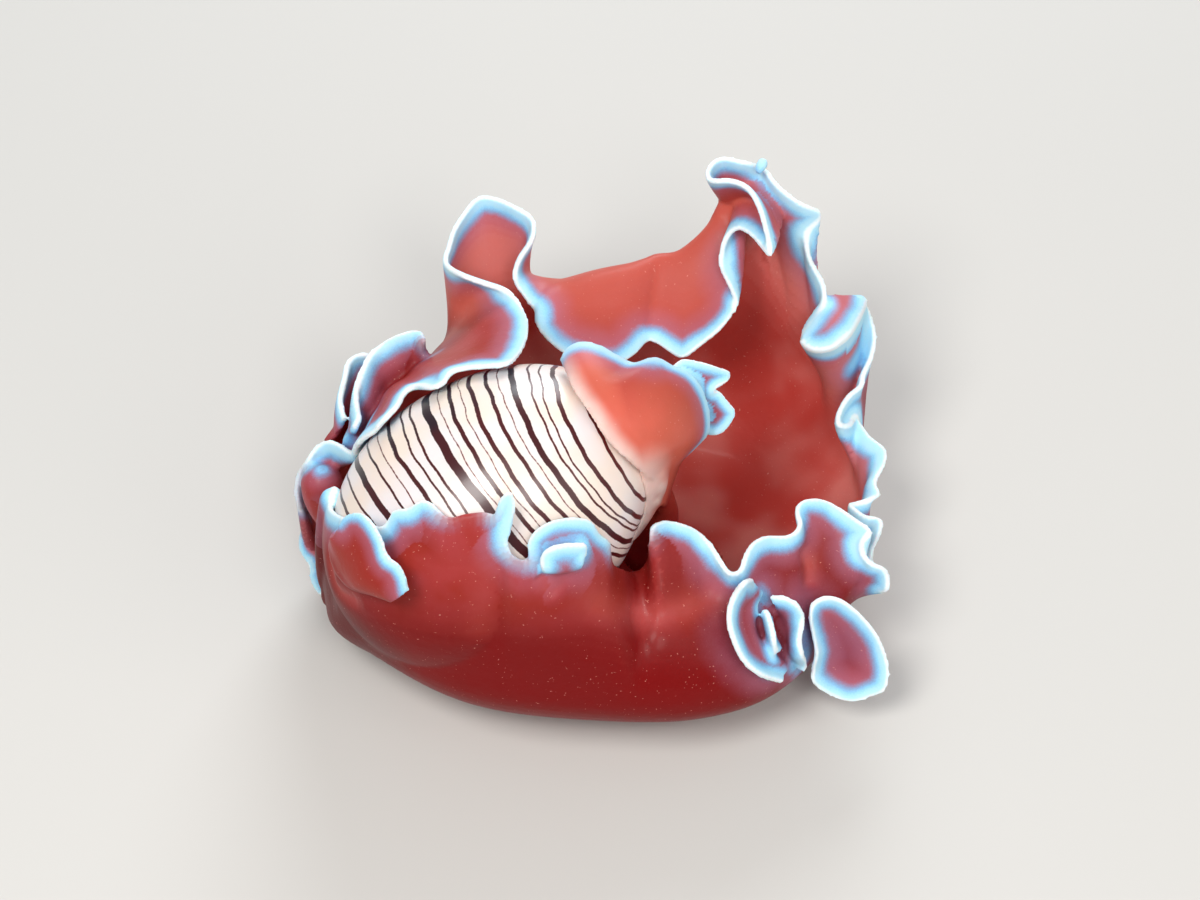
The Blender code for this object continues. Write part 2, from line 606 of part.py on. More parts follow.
def spread_mask(mask, closed):
    wide = mask.copy()
    wide[1:] |= mask[:-1]
    wide[:-1] |= mask[1:]
    if closed:
        wide[0] |= mask[-1]
        wide[-1] |= mask[0]
    wide[:, 1:] |= mask[:, :-1]
    wide[:, :-1] |= mask[:, 1:]
    return wide


def neighbour_mean(grid, closed):
    """Mean of the neighbours; edges move only along themselves."""
    if closed:
        across = (np.roll(grid, 1, axis=0) + np.roll(grid, -1, axis=0)) / 2
    else:
        across = grid.copy()
        across[1:-1] = (grid[:-2] + grid[2:]) / 2
    mean = across.copy()
    upwards = (grid[:, :-2] + grid[:, 2:]) / 2
    mean[:, 1:-1] = (across[:, 1:-1] + upwards) / 2
    if not closed:
        mean[0, 1:-1], mean[-1, 1:-1] = upwards[0], upwards[-1]
    return mean


def make_node(name, points, faces):
    mesh = bpy.data.meshes.new(name)
    metres = [tuple(float(v) * MM for v in p) for p in points]
    mesh.from_pydata(metres, [], faces)
    mesh.validate()
    node = bpy.data.objects.new(name, mesh)
    bpy.context.scene.collection.objects.link(node)
    return node


def sheet_node(name, middle, normals, thickness):
    """A closed sheet: both faces split along the same diagonals."""
    columns, rows = middle.shape[:2]
    half = np.broadcast_to(thickness, (columns, rows))[..., None] / 2
    outer = (middle + normals * half).reshape(-1, 3)
    inner = (middle - normals * half).reshape(-1, 3)
    count = columns * rows
    faces = grid_triangles(columns, rows, False)
    faces += [tuple(count + v for v in reversed(tri)) for tri in faces]
    border = [i * rows for i in range(columns)]
    border += [(columns - 1) * rows + j for j in range(1, rows)]
    border += [i * rows + rows - 1 for i in range(columns - 2, -1, -1)]
    border += [j for j in range(rows - 2, 0, -1)]
    for a, b in zip(border, border[1:] + border[:1]):
        faces.append((b, a, a + count))
        faces.append((b, a + count, b + count))
    return make_node(name, np.vstack((outer, inner)), faces)


def build_foot():
    """The turned-up wall of the foot, one sheet parted into named parts."""
    grid, normals, thickness, cuts, azimuth = foot_grid(
        MARGIN_STEP, LOWER_ROWS, UPPER_ROWS)
    count = len(grid)
    along = unit(np.roll(grid, -1, axis=0) - np.roll(grid, 1, axis=0))
    for (name, _), begin, end in zip(PARTS, cuts, cuts[1:]):
        picks = [k % count for k in range(begin, end + 1)]
        part = grid[picks].copy()
        for edge, inner, way in ((0, 1, 1.0), (-1, -2, -1.0)):
            room = np.linalg.norm(part[inner] - part[edge], axis=1)
            shift = np.minimum(GAP / 2, 0.6 * room)[:, None]
            part[edge] += way * along[picks[edge]] * shift
        sheet_node(name, part, normals[picks], thickness[picks])
    return grid, normals, azimuth


def wall_place(foot, azimuth, level):
    """A point in the middle of the foot's wall."""
    grid, normals, azimuths = foot
    count, rows = grid.shape[:2]
    start = azimuths[0]
    spot = np.interp((azimuth - start) % 360 + start,
                     np.append(azimuths, start + 360), np.arange(count + 1))
    i, u = int(spot), spot - int(spot)
    height = level * (rows - 1)
    j, v = min(int(height), rows - 2), height - min(int(height), rows - 2)
    corners = ((i, j, (1 - u) * (1 - v)), (i + 1, j, u * (1 - v)),
               (i, j + 1, (1 - u) * v), (i + 1, j + 1, u * v))
    return sum(w * grid[a % count, b] for a, b, w in corners)


def wall_tree(foot):
    grid = foot[0]
    triangles = grid_triangles(grid.shape[0], grid.shape[1], True)
    return BVHTree.FromPolygons(grid.reshape(-1, 3).tolist(), triangles)


def seen_on_wall(tree, column, row):
    """Where a sight line meets the wall, or passes nearest to it."""
    line = Vector(sight_line(column, row))
    place, normal, _, _ = tree.ray_cast(Vector(VIEW_POINT), line)
    if place is None:
        steps = np.linspace(VIEW_DISTANCE - 50, VIEW_DISTANCE + 50, 101)
        spots = [Vector(VIEW_POINT) + line * step for step in steps]
        place = min(spots, key=lambda spot: tree.find_nearest(spot)[3])
        normal = tree.find_nearest(place)[1]
    return line, place, normal


def point_on_wall(tree, column, row, lift):
    """A point lift mm off the wall where a sight line meets it."""
    _, place, normal = seen_on_wall(tree, column, row)
    return np.array(place + normal * lift)


def point_before_wall(tree, column, row, lift):
    """A point of the sight line that stands lift mm off the wall."""
    line, place, normal = seen_on_wall(tree, column, row)
    facing = max(-line.dot(normal), 0.4)
    return np.array(place - line * lift / facing)


def off_the_wall(points, tree, lift, reach):
    """Move points to at least lift off the outer face of the wall."""
    flat = points.reshape(-1, 3).copy()
    for k, point in enumerate(flat):
        near, normal, _, distance = tree.find_nearest(Vector(point))
        side = (Vector(point) - near).dot(normal)
        if distance < reach and side < lift:
            flat[k] = point + np.array(normal) * (lift - side)
    return flat.reshape(points.shape)


def build_sole():
    """The flat oval that the animal rests on."""
    count = 56
    points, faces = [], []
    for height in (0.0, SOLE_THICKNESS):
        for k in range(count):
            turn = 2 * pi * k / count
            points.append((cos(turn) * SOLE_LENGTH / 2,
                           sin(turn) * SOLE_WIDTH / 2, height))
    for k in range(count):
        n = (k + 1) % count
        faces.append((k, n, n + count))
        faces.append((k, n + count, k + count))
    faces.append(tuple(range(count - 1, -1, -1)))
    faces.append(tuple(range(count, 2 * count)))
    make_node("foot_sole", points, faces)


def shell_frame():
    """Two directions across the axis; the first points to the lip."""
    lip = LIP_TOWARDS - (LIP_TOWARDS @ SHELL_AXIS) * SHELL_AXIS
    lip = unit(lip)
    return lip, np.cross(SHELL_AXIS, lip)


def shell_point(polar, turn):
    """A point of the shell: polar 0 at the spire, turn from the lip."""
    lip, side = shell_frame()
    length = SHELL_REAR_LENGTH if polar < pi / 2 else SHELL_FRONT_LENGTH
    along = length * cos(polar)
    radius = SHELL_RADIUS * sin(polar)
    fade = sin(polar) ** 0.5
    radius *= 1 + WHORL_GROWTH * fade * (turn / (2 * pi) - 0.5)
    if radius < SPIRE_RADIUS and polar < pi / 2:
        along -= SPIRE_DEPTH * (1 - (radius / SPIRE_RADIUS) ** 2)
    around = cos(turn) * lip + sin(turn) * side
    return SHELL_CENTRE + along * SHELL_AXIS + radius * around


def build_shell():
    """The shell, with a step where the whorl meets its lip."""
    bands, turns = 18, 30
    points = [shell_point(0.0, pi)]
    for i in range(1, bands):
        for k in range(turns + 1):
            points.append(shell_point(pi * i / bands, 2 * pi * k / turns))
    points.append(shell_point(pi, pi))
    last = len(points) - 1
    width = turns + 1
    faces = []

    def at(i, k):
        return 1 + (i - 1) * width + k % width

    for k in range(width):
        faces.append((0, at(1, k), at(1, k + 1)))
        faces.append((last, at(bands - 1, k + 1), at(bands - 1, k)))
        for i in range(1, bands - 1):
            faces.append((at(i, k), at(i + 1, k), at(i + 1, k + 1)))
            faces.append((at(i, k), at(i + 1, k + 1), at(i, k + 1)))
    make_node("shell", points, faces)


def shell_underside(spread, turn, lift):
    """A point below the shell, spread in degrees from its lowest point."""
    tip = radians(spread)
    way = np.array((sin(tip) * cos(turn), sin(tip) * sin(turn), -cos(tip)))
    near, far = 0.0, 40.0
    for _ in range(40):
        middle = (near + far) / 2
        if shell_level(SHELL_CENTRE + way * middle, lift) < 1:
            near = middle
        else:
            far = middle
    return SHELL_CENTRE + way * far


def build_body():
    """The body between the sole and the underside of the shell."""
    count = 36
    lift = SHELL_RADIUS * WHORL_GROWTH / 2 + 2 * GAP
    points = [shell_underside(0.0, 0.0, lift)]
    spreads = (14, 26, 36)
    for spread in spreads:
        for k in range(count):
            points.append(shell_underside(spread, 2 * pi * k / count, lift))
    rim = np.array(points[-count:])
    turns = np.linspace(0, 2 * pi, count, endpoint=False)
    foot = np.column_stack((
        BODY_ROOT_CENTRE[0] + BODY_ROOT_HALF_SIZE[0] * np.cos(turns),
        BODY_ROOT_CENTRE[1] + BODY_ROOT_HALF_SIZE[1] * np.sin(turns),
        0 * turns + SOLE_THICKNESS + GAP))
    for t in (0.35, 0.7, 1.0):
        ring = rim + (foot - rim) * t
        points.extend(ring)
    rings = len(spreads) + 3
    faces = []
    for k in range(count):
        n = (k + 1) % count
        faces.append((0, 1 + k, 1 + n))
        for r in range(rings - 1):
            a, b = 1 + r * count + k, 1 + r * count + n
            faces.append((a, a + count, b + count))
            faces.append((a, b + count, b))
    faces.append(tuple(1 + (rings - 1) * count + k
                       for k in range(count - 1, -1, -1)))
    make_node("body", points, faces)


def ball_node(name, centre, half_size, bands, turns):
    """A ball or egg of flesh with its half sizes along x, y and z."""
    points = [centre + half_size * (0, 0, 1)]
    for i in range(1, bands):
        for k in range(turns):
            polar, turn = pi * i / bands, 2 * pi * k / turns
            way = (sin(polar) * cos(turn), sin(polar) * sin(turn),
                   cos(polar))
            points.append(centre + half_size * way)
    points.append(centre - half_size * (0, 0, 1))
    last = len(points) - 1
    faces = []
    for k in range(turns):
        n = (k + 1) % turns
        faces.append((0, 1 + k, 1 + n))
        tail = 1 + (bands - 2) * turns
        faces.append((last, tail + n, tail + k))
        for i in range(bands - 2):
            a, b = 1 + i * turns + k, 1 + i * turns + n
            faces.append((a, a + turns, b + turns))
            faces.append((a, b + turns, b))
    return make_node(name, points, faces)


def build_head():
    """The head, its eyes and the two lobes of the head shield."""
    ball_node("head", HEAD_CENTRE, HEAD_HALF_SIZE, 12, 20)
    for name, (x, y) in EYE_PLACES:
        level = 1 - (x / HEAD_HALF_SIZE[0]) ** 2 - (y / HEAD_HALF_SIZE[1]) ** 2
        height = HEAD_HALF_SIZE[2] * level ** 0.5 + EYE_RADIUS + 0.1
        ball_node(name, HEAD_CENTRE + (x, y, height),
                  EYE_RADIUS * np.ones(3), 6, 8)
    make_node("head_shield_right", *round_bar(HOOD, 12, 12))
    for name, root, edge in HEAD_LOBES:
        first = even_steps(np.array(root), 8)
        second = edge_with_marks(edge, 8)[:, :3]
        t = np.linspace(0, 1, 5)[None, :, None]
        middle = first[:, None] * (1 - t) + second[:, None] * t
        thickness = np.full((8, 5), SHEET_THICKNESS)
        sheet_node(name, *settle(middle, thickness, False))


def edge_with_marks(points, count):
    """Even steps along an edge; the fourth value counts its points."""
    marks = np.arange(len(points), dtype=float)[:, None]
    padded = np.hstack((np.array(points), marks))
    first = 2 * padded[0] - padded[1]
    last = 2 * padded[-1] - padded[-2]
    padded = np.vstack((first, padded, last))
    fine = []
    for p0, p1, p2, p3 in zip(padded, padded[1:], padded[2:], padded[3:]):
        piece = blend_span(p0, p1, p2, p3, 12)
        piece[:, 3] = np.linspace(p1[3], p2[3], 13)
        fine.extend(piece[:-1])
    fine.append(padded[-2])
    return even_steps(np.array(fine), count)


def build_sheets(foot):
    """The leaves, flaps and frill that grow from the foot's outer face."""
    tree = wall_tree(foot)
    lift = (WALL_THICKNESS_BASE + SHEET_THICKNESS) / 2 + GAP
    rows = SHEET_ROWS
    t = np.linspace(0, 1, rows)[None, :, None]
    for name, kind, farther, bulge, edge, way, root in SHEETS:
        if kind == ON_WALL:
            points = [point_before_wall(tree, *point) for point in edge]
        else:
            points = fold_points(kind, edge)
        length = np.linalg.norm(np.diff(points, axis=0), axis=1).sum()
        count = max(6, int(round(length / SHEET_STEP)))
        marked = edge_with_marks(points, count)
        share = marked[:, 3] / (len(points) - 1)
        marks = np.linspace(0, 1, len(root))
        first = np.interp(share, marks, [r[0] for r in root])
        second = np.interp(share, marks, [r[1] for r in root])
        if way == SEEN:
            rooted = np.array([point_on_wall(tree, a, b, lift)
                               for a, b in zip(first, second)])
        else:
            rooted = np.array([wall_place(foot, a, b)
                               for a, b in zip(first, second)])
        middle = rooted[:, None] * (1 - t) + marked[:, None, :3] * t
        middle = middle + np.array(bulge) * 4 * t * (1 - t)
        for _ in range(3):
            middle = off_the_wall(middle, tree, lift + farther, 5.0)
        thickness = np.full((count, rows), SHEET_THICKNESS)
        middle, normals, thickness = settle(middle, thickness, False)
        sheet_node(name, middle, normals, thickness)


def round_bar(points, steps, sides):
    """Points and faces of a bar with round ends; points carry a radius."""
    path = curve_through(points, steps)
    place, radius = path[:, :3], path[:, 3]
    length = np.linalg.norm(np.diff(place, axis=0), axis=1)
    along = np.concatenate(([0.0], np.cumsum(length)))
    for away in (along, along[-1] - along):
        short = np.clip(away / path[:, 3], 0.0, 1.0)
        radius = radius * np.sqrt(1 - (1 - short) ** 2)
    forward = unit(np.gradient(place, axis=0))
    side = unit(np.cross(forward, (0.3, 1.0, 0.1)))
    other = np.cross(forward, side)
    verts = [place[0]]
    for k in range(1, steps - 1):
        for turn in np.linspace(0, 2 * pi, sides, endpoint=False):
            verts.append(place[k] + radius[k] * (cos(turn) * side[k]
                                                 + sin(turn) * other[k]))
    verts.append(place[-1])
    last = len(verts) - 1
    faces = []
    for k in range(sides):
        n = (k + 1) % sides
        faces.append((0, 1 + n, 1 + k))
        end = 1 + (steps - 3) * sides
        faces.append((last, end + k, end + n))
        for r in range(steps - 3):
            a, b = 1 + r * sides + k, 1 + r * sides + n
            faces.append((a, b, b + sides))
            faces.append((a, b + sides, a + sides))
    return np.array(verts), faces


def dish(rim, rings, thickness):
    """Points and faces of a closed dish inside a rim."""
    back = unit(CUP_BACK)
    centre = rim.mean(axis=0)
    count = len(rim)
    middle = [centre[None] + back * CUP_DEPTH]
    for r in range(1, rings + 1):
        s = r / rings
        middle.append(centre + (rim - centre) * s
                      + back * CUP_DEPTH * (1 - s ** 2))
    middle = np.vstack(middle)
    total = len(middle)
    verts = np.vstack((middle + back * thickness / 2,
                       middle - back * thickness / 2))
    front = []
    for k in range(count):
        n = (k + 1) % count
        front.append((0, 1 + k, 1 + n))
        for r in range(rings - 1):
            a, b = 1 + r * count + k, 1 + r * count + n
            front.append((a, a + count, b + count))
            front.append((a, b + count, b))
    faces = front + [tuple(total + v for v in reversed(face))
                     for face in front]
    start = 1 + (rings - 1) * count
    for k in range(count):
        a, b = start + k, start + (k + 1) % count
        faces.append((b, a, a + total))
        faces.append((b, a + total, b + total))
    return verts, faces


def cup_rim(count):
    """The closed rim of the cup at equal steps."""
    points = fold_points(AT_HEIGHT, CUP_RIM)
    ends = points[-3:] + points + points[:4]
    fine = []
    for p0, p1, p2, p3 in zip(ends, ends[1:], ends[2:], ends[3:]):
        fine.append(blend_span(p0, p1, p2, p3, 12)[:-1])
    start = 2
    loop = np.vstack(fine[start:start + len(points)])
    return even_steps(np.vstack((loop, loop[:1])), count + 1)[:-1]


def cup_stalk():
    """Points with radius from behind the cup back to the foot."""
    back = unit(CUP_BACK)
    centre = cup_rim(40).mean(axis=0) + back * CUP_DEPTH
    (first, wide), (second, narrow) = CUP_STALK
    middle = (first + second) / 2
    return [np.append(centre + back * first, wide),
            np.append(centre + back * middle, (wide + narrow) / 2),
            np.append(centre + back * second, narrow)]


def build_cup():
    """The cupped fold beside the tail and the stalk that carries it."""
    verts, faces = dish(cup_rim(28), 4, SHEET_THICKNESS)
    make_node("tail_cup", verts, faces)
    make_node("tail_cup_stalk", *round_bar(cup_stalk(), 10, 12))


def swept_hem(columns, rows, start):
    """The hem's middle surface: its edge turned back round the shell."""
    near = curve_through(fold_points(ON_SHELL, MANTLE_HEM), columns)
    offset = near - SHELL_CENTRE
    along = (offset @ SHELL_AXIS)[:, None] * SHELL_AXIS
    side = offset - along
    other = np.cross(SHELL_AXIS, side)
    grid = []
    for angle in np.linspace(start, MANTLE_HEM_SWEEP, rows):
        grid.append(SHELL_CENTRE + along + cos(angle) * side
                    + sin(angle) * other)
    return np.stack(grid, axis=1)


def build_mantle_parts():
    """The ear behind the mantle lobe, and the hem beside the shell."""
    ear_root = curve_through(fold_points(AT_HEIGHT, MANTLE_EAR_ROOT), 18)
    ear_edge = curve_through(fold_points(AT_HEIGHT, MANTLE_EAR), 18)
    t = np.linspace(0, 1, 4)[None, :, None]
    middle = ear_root[:, None] * (1 - t) + ear_edge[:, None] * t
    thickness = np.full((18, 4), SHEET_THICKNESS)
    sheet_node("mantle_ear", *settle(middle, thickness, False))
    middle = swept_hem(7, 7, 0.0)
    middle = clear_of_shell(middle, MANTLE_HEM_THICKNESS / 2
                            + SHELL_CLEARANCE)
    sheet_node("mantle_hem", middle, grid_normals(middle, False),
               MANTLE_HEM_THICKNESS)
    make_node("mantle_trunk", *round_bar(TRUNK, 12, 12))


def build_mantle():
    """The lobe over the spire, from the shell up to its free edge."""
    near = fold_points(ON_SHELL, MANTLE_NEAR_EDGE)
    free = fold_points(AT_HEIGHT, MANTLE_FREE_EDGE)
    columns, rows = 30, 8
    near = curve_through(near, columns)
    free = curve_through(free, columns)
    t = np.linspace(0, 1, rows)[None, :, None]
    middle = near[:, None] * (1 - t) + free[:, None] * t
    swell = np.sin(np.linspace(0, pi, columns))[:, None, None]
    middle = middle + VIEW_BACK * MANTLE_RISE * 4 * t * (1 - t) * swell
    lift = MANTLE_THICKNESS / 2 + SHELL_CLEARANCE
    middle = clear_of_shell(middle, lift)
    normals = grid_normals(middle, False)
    sheet_node("mantle_lobe", middle, normals, MANTLE_THICKNESS)


def main():
    for item in list(bpy.data.objects):
        bpy.data.objects.remove(item)
    build_sole()
    foot = build_foot()
    build_sheets(foot)
    build_cup()
    build_shell()
    build_body()
    build_head()
    build_mantle()
    build_mantle_parts()


main()
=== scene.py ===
"""Looks of the brown-lined paper bubble: skin, shell, eyes, floor, lights.

All lengths are in millimetres until a mesh is made, and then in metres.
Image places are column and row of a 1200 by 900 image.
"""
from math import cos, pi, radians, sin

import bpy
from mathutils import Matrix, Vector, kdtree
from mathutils.bvhtree import BVHTree
import numpy as np

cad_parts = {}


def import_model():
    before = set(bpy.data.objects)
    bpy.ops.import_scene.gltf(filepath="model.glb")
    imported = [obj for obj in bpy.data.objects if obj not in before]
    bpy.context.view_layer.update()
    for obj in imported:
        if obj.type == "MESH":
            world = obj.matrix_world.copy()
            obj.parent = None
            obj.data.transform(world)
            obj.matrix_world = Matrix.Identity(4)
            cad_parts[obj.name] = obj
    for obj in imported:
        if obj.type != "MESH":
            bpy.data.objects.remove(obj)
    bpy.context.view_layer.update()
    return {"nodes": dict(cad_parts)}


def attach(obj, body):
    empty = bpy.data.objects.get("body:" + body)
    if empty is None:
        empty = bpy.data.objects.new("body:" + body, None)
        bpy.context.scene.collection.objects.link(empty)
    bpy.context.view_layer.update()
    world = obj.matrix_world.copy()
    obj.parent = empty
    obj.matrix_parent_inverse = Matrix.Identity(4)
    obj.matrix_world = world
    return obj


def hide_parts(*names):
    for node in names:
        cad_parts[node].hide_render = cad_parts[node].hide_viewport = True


# One millimetre in Blender's metres
MM = 0.001
UP = np.array((0.0, 0.0, 1.0))

# The reference view: camera height angle, scale in the image and distance
VIEW_ELEVATION = radians(50.0)
MM_PER_PIXEL = 0.108
IMAGE_CENTRE = (600.0, 450.0)
VIEW_DISTANCE = 340.0
VIEW_TARGET = np.array((0.0, 5.0, 16.0))
VIEW_RIGHT = np.array((1.0, 0.0, 0.0))
VIEW_UP = np.array((0.0, sin(VIEW_ELEVATION), cos(VIEW_ELEVATION)))
VIEW_BACK = np.array((0.0, -cos(VIEW_ELEVATION), sin(VIEW_ELEVATION)))
VIEW_POINT = VIEW_TARGET + VIEW_DISTANCE * VIEW_BACK
# Distances from the viewer at which a sight line is searched, and the steps
# for the shell and for the foot's wall
SIGHT_NEAR = VIEW_DISTANCE - 70.0
SIGHT_FAR = VIEW_DISTANCE + 50.0
SHELL_SIGHT_STEPS = 2401
WALL_SIGHT_STEPS = 121

# The shell: an egg about a tilted axis that points to the spire
SHELL_CENTRE = np.array((-12.8, -8.7, 21.1))
SHELL_AXIS = np.array((0.773, 0.278, 0.571))
SHELL_AXIS = SHELL_AXIS / np.linalg.norm(SHELL_AXIS)
SHELL_RADIUS = 14.0
SHELL_REAR_LENGTH = 20.0
SHELL_FRONT_LENGTH = 16.0
WHORL_GROWTH = 0.09
LIP_TOWARDS = np.array((0.0, 0.5, -0.87))
SPIRE_RADIUS = 3.4
SPIRE_DEPTH = 1.4

# Gap between parts, and how far the foot stays off the shell
GAP = 0.3
SHELL_CLEARANCE = 0.1

# The oval sole, its rings as height and reach past the oval, the body's
# oval root on it, and the thicknesses of the foot
SOLE_LENGTH = 44.0
SOLE_WIDTH = 32.0
SOLE_RINGS = ((0.0, -0.6), (0.25, 0.1), (0.8, 1.0), (2.4, 2.2), (3.2, 2.0), (2.8, 0.8),
              (2.45, -0.8), (2.25, -3.0), (2.1, -7.0))
BODY_ROOT_CENTRE = (-5.5, -5.0, 1.0)
BODY_ROOT_HALF_SIZE = (11.5, 9.0)
# The body under the shell: how far it is sunk into it, rings in degrees
# from the shell's lowest point, then rings as shares of the way down, and
# how much it is waisted halfway
BODY_SUNK = 0.4
BODY_SPREADS = (8, 14, 20, 26, 32, 37)
BODY_SHARES = (0.2, 0.4, 0.6, 0.8, 1.0)
BODY_WAIST = 0.25
WALL_THICKNESS_BASE = 1.6
WALL_THICKNESS_MARGIN = 0.62

# Steps between two points of a curve, steps along the foot's edge and rows
# up its wall
SPAN_STEPS = 12
MARGIN_STEP = 0.5
MARGIN_ROUNDING = 0.7
LOWER_ROWS = 14
UPPER_ROWS = 30
# Frills are worked in over the upper wall: width of the smooth course
# that they stand off, and how quickly they grow towards the edge
FRILL_WIDTH = 11.0
FRILL_GROWTH = 1.5
# Between these azimuths of the near wall the frills begin nearer the edge
NEAR_FRILL_GROWTH = 1.6
NEAR_FRILLS = (240, 330)
NEAR_FRILL_FADE = 5.0
# How steeply the wall leaves the floor, and how far its lower curve reaches
BASE_SLOPE = 0.7
LOWER_REACH = 0.35
# How much x, y and z count in the way from the shoulder inwards, and how
# quickly the wall thins upwards
INWARD_WEIGHTS = (0.6, 1.0, 0.0)
THINNING = 0.8

# The wall's shoulder round the foot: azimuth in degrees from the tail,
# then its x, y and height, and how far the wall leans in there in degrees
SHOULDER = (
    (0, 28.0, 0.0, 8.0, -35), (30, 26.5, 11.5, 9.5, -30), (55, 19.5, 20.5, 13.5, -12),
    (75, 9.0, 23.0, 17.5, 0), (90, 0.0, 23.5, 19.5, 5), (110, -9.5, 22.6, 18.0, 0),
    (130, -17.6, 17.6, 14.5, 5), (150, -23.4, 11.0, 12.0, 5), (165, -28.0, 5.6, 8.5, -15),
    (178, -29.6, 1.5, 2.8, -60), (190, -28.8, -2.0, 2.0, -60), (202, -28.4, -5.0, 2.4, -35),
    (212, -28.5, -11.0, 8.0, 0), (225, -24.6, -16.8, 12.5, 0), (245, -15.0, -23.0, 13.0, 5),
    (270, 0.0, -25.0, 12.0, 8), (290, 10.5, -24.2, 10.5, 8), (303, 16.5, -21.6, 9.0, 5),
    (315, 20.8, -17.8, 8.0, 0), (328, 24.2, -12.8, 7.5, -8), (342, 26.5, -6.5, 7.5, -25))

# Kinds of the third value of a point: off the shell, off the foot's wall,
# or a height. The last two are kinds of a sheet's root
ON_SHELL = "on the shell"
ON_WALL = "on the foot's wall"
AT_HEIGHT = "at a height"
SEEN = "seen on the wall"
ROUND = "by azimuth and height"

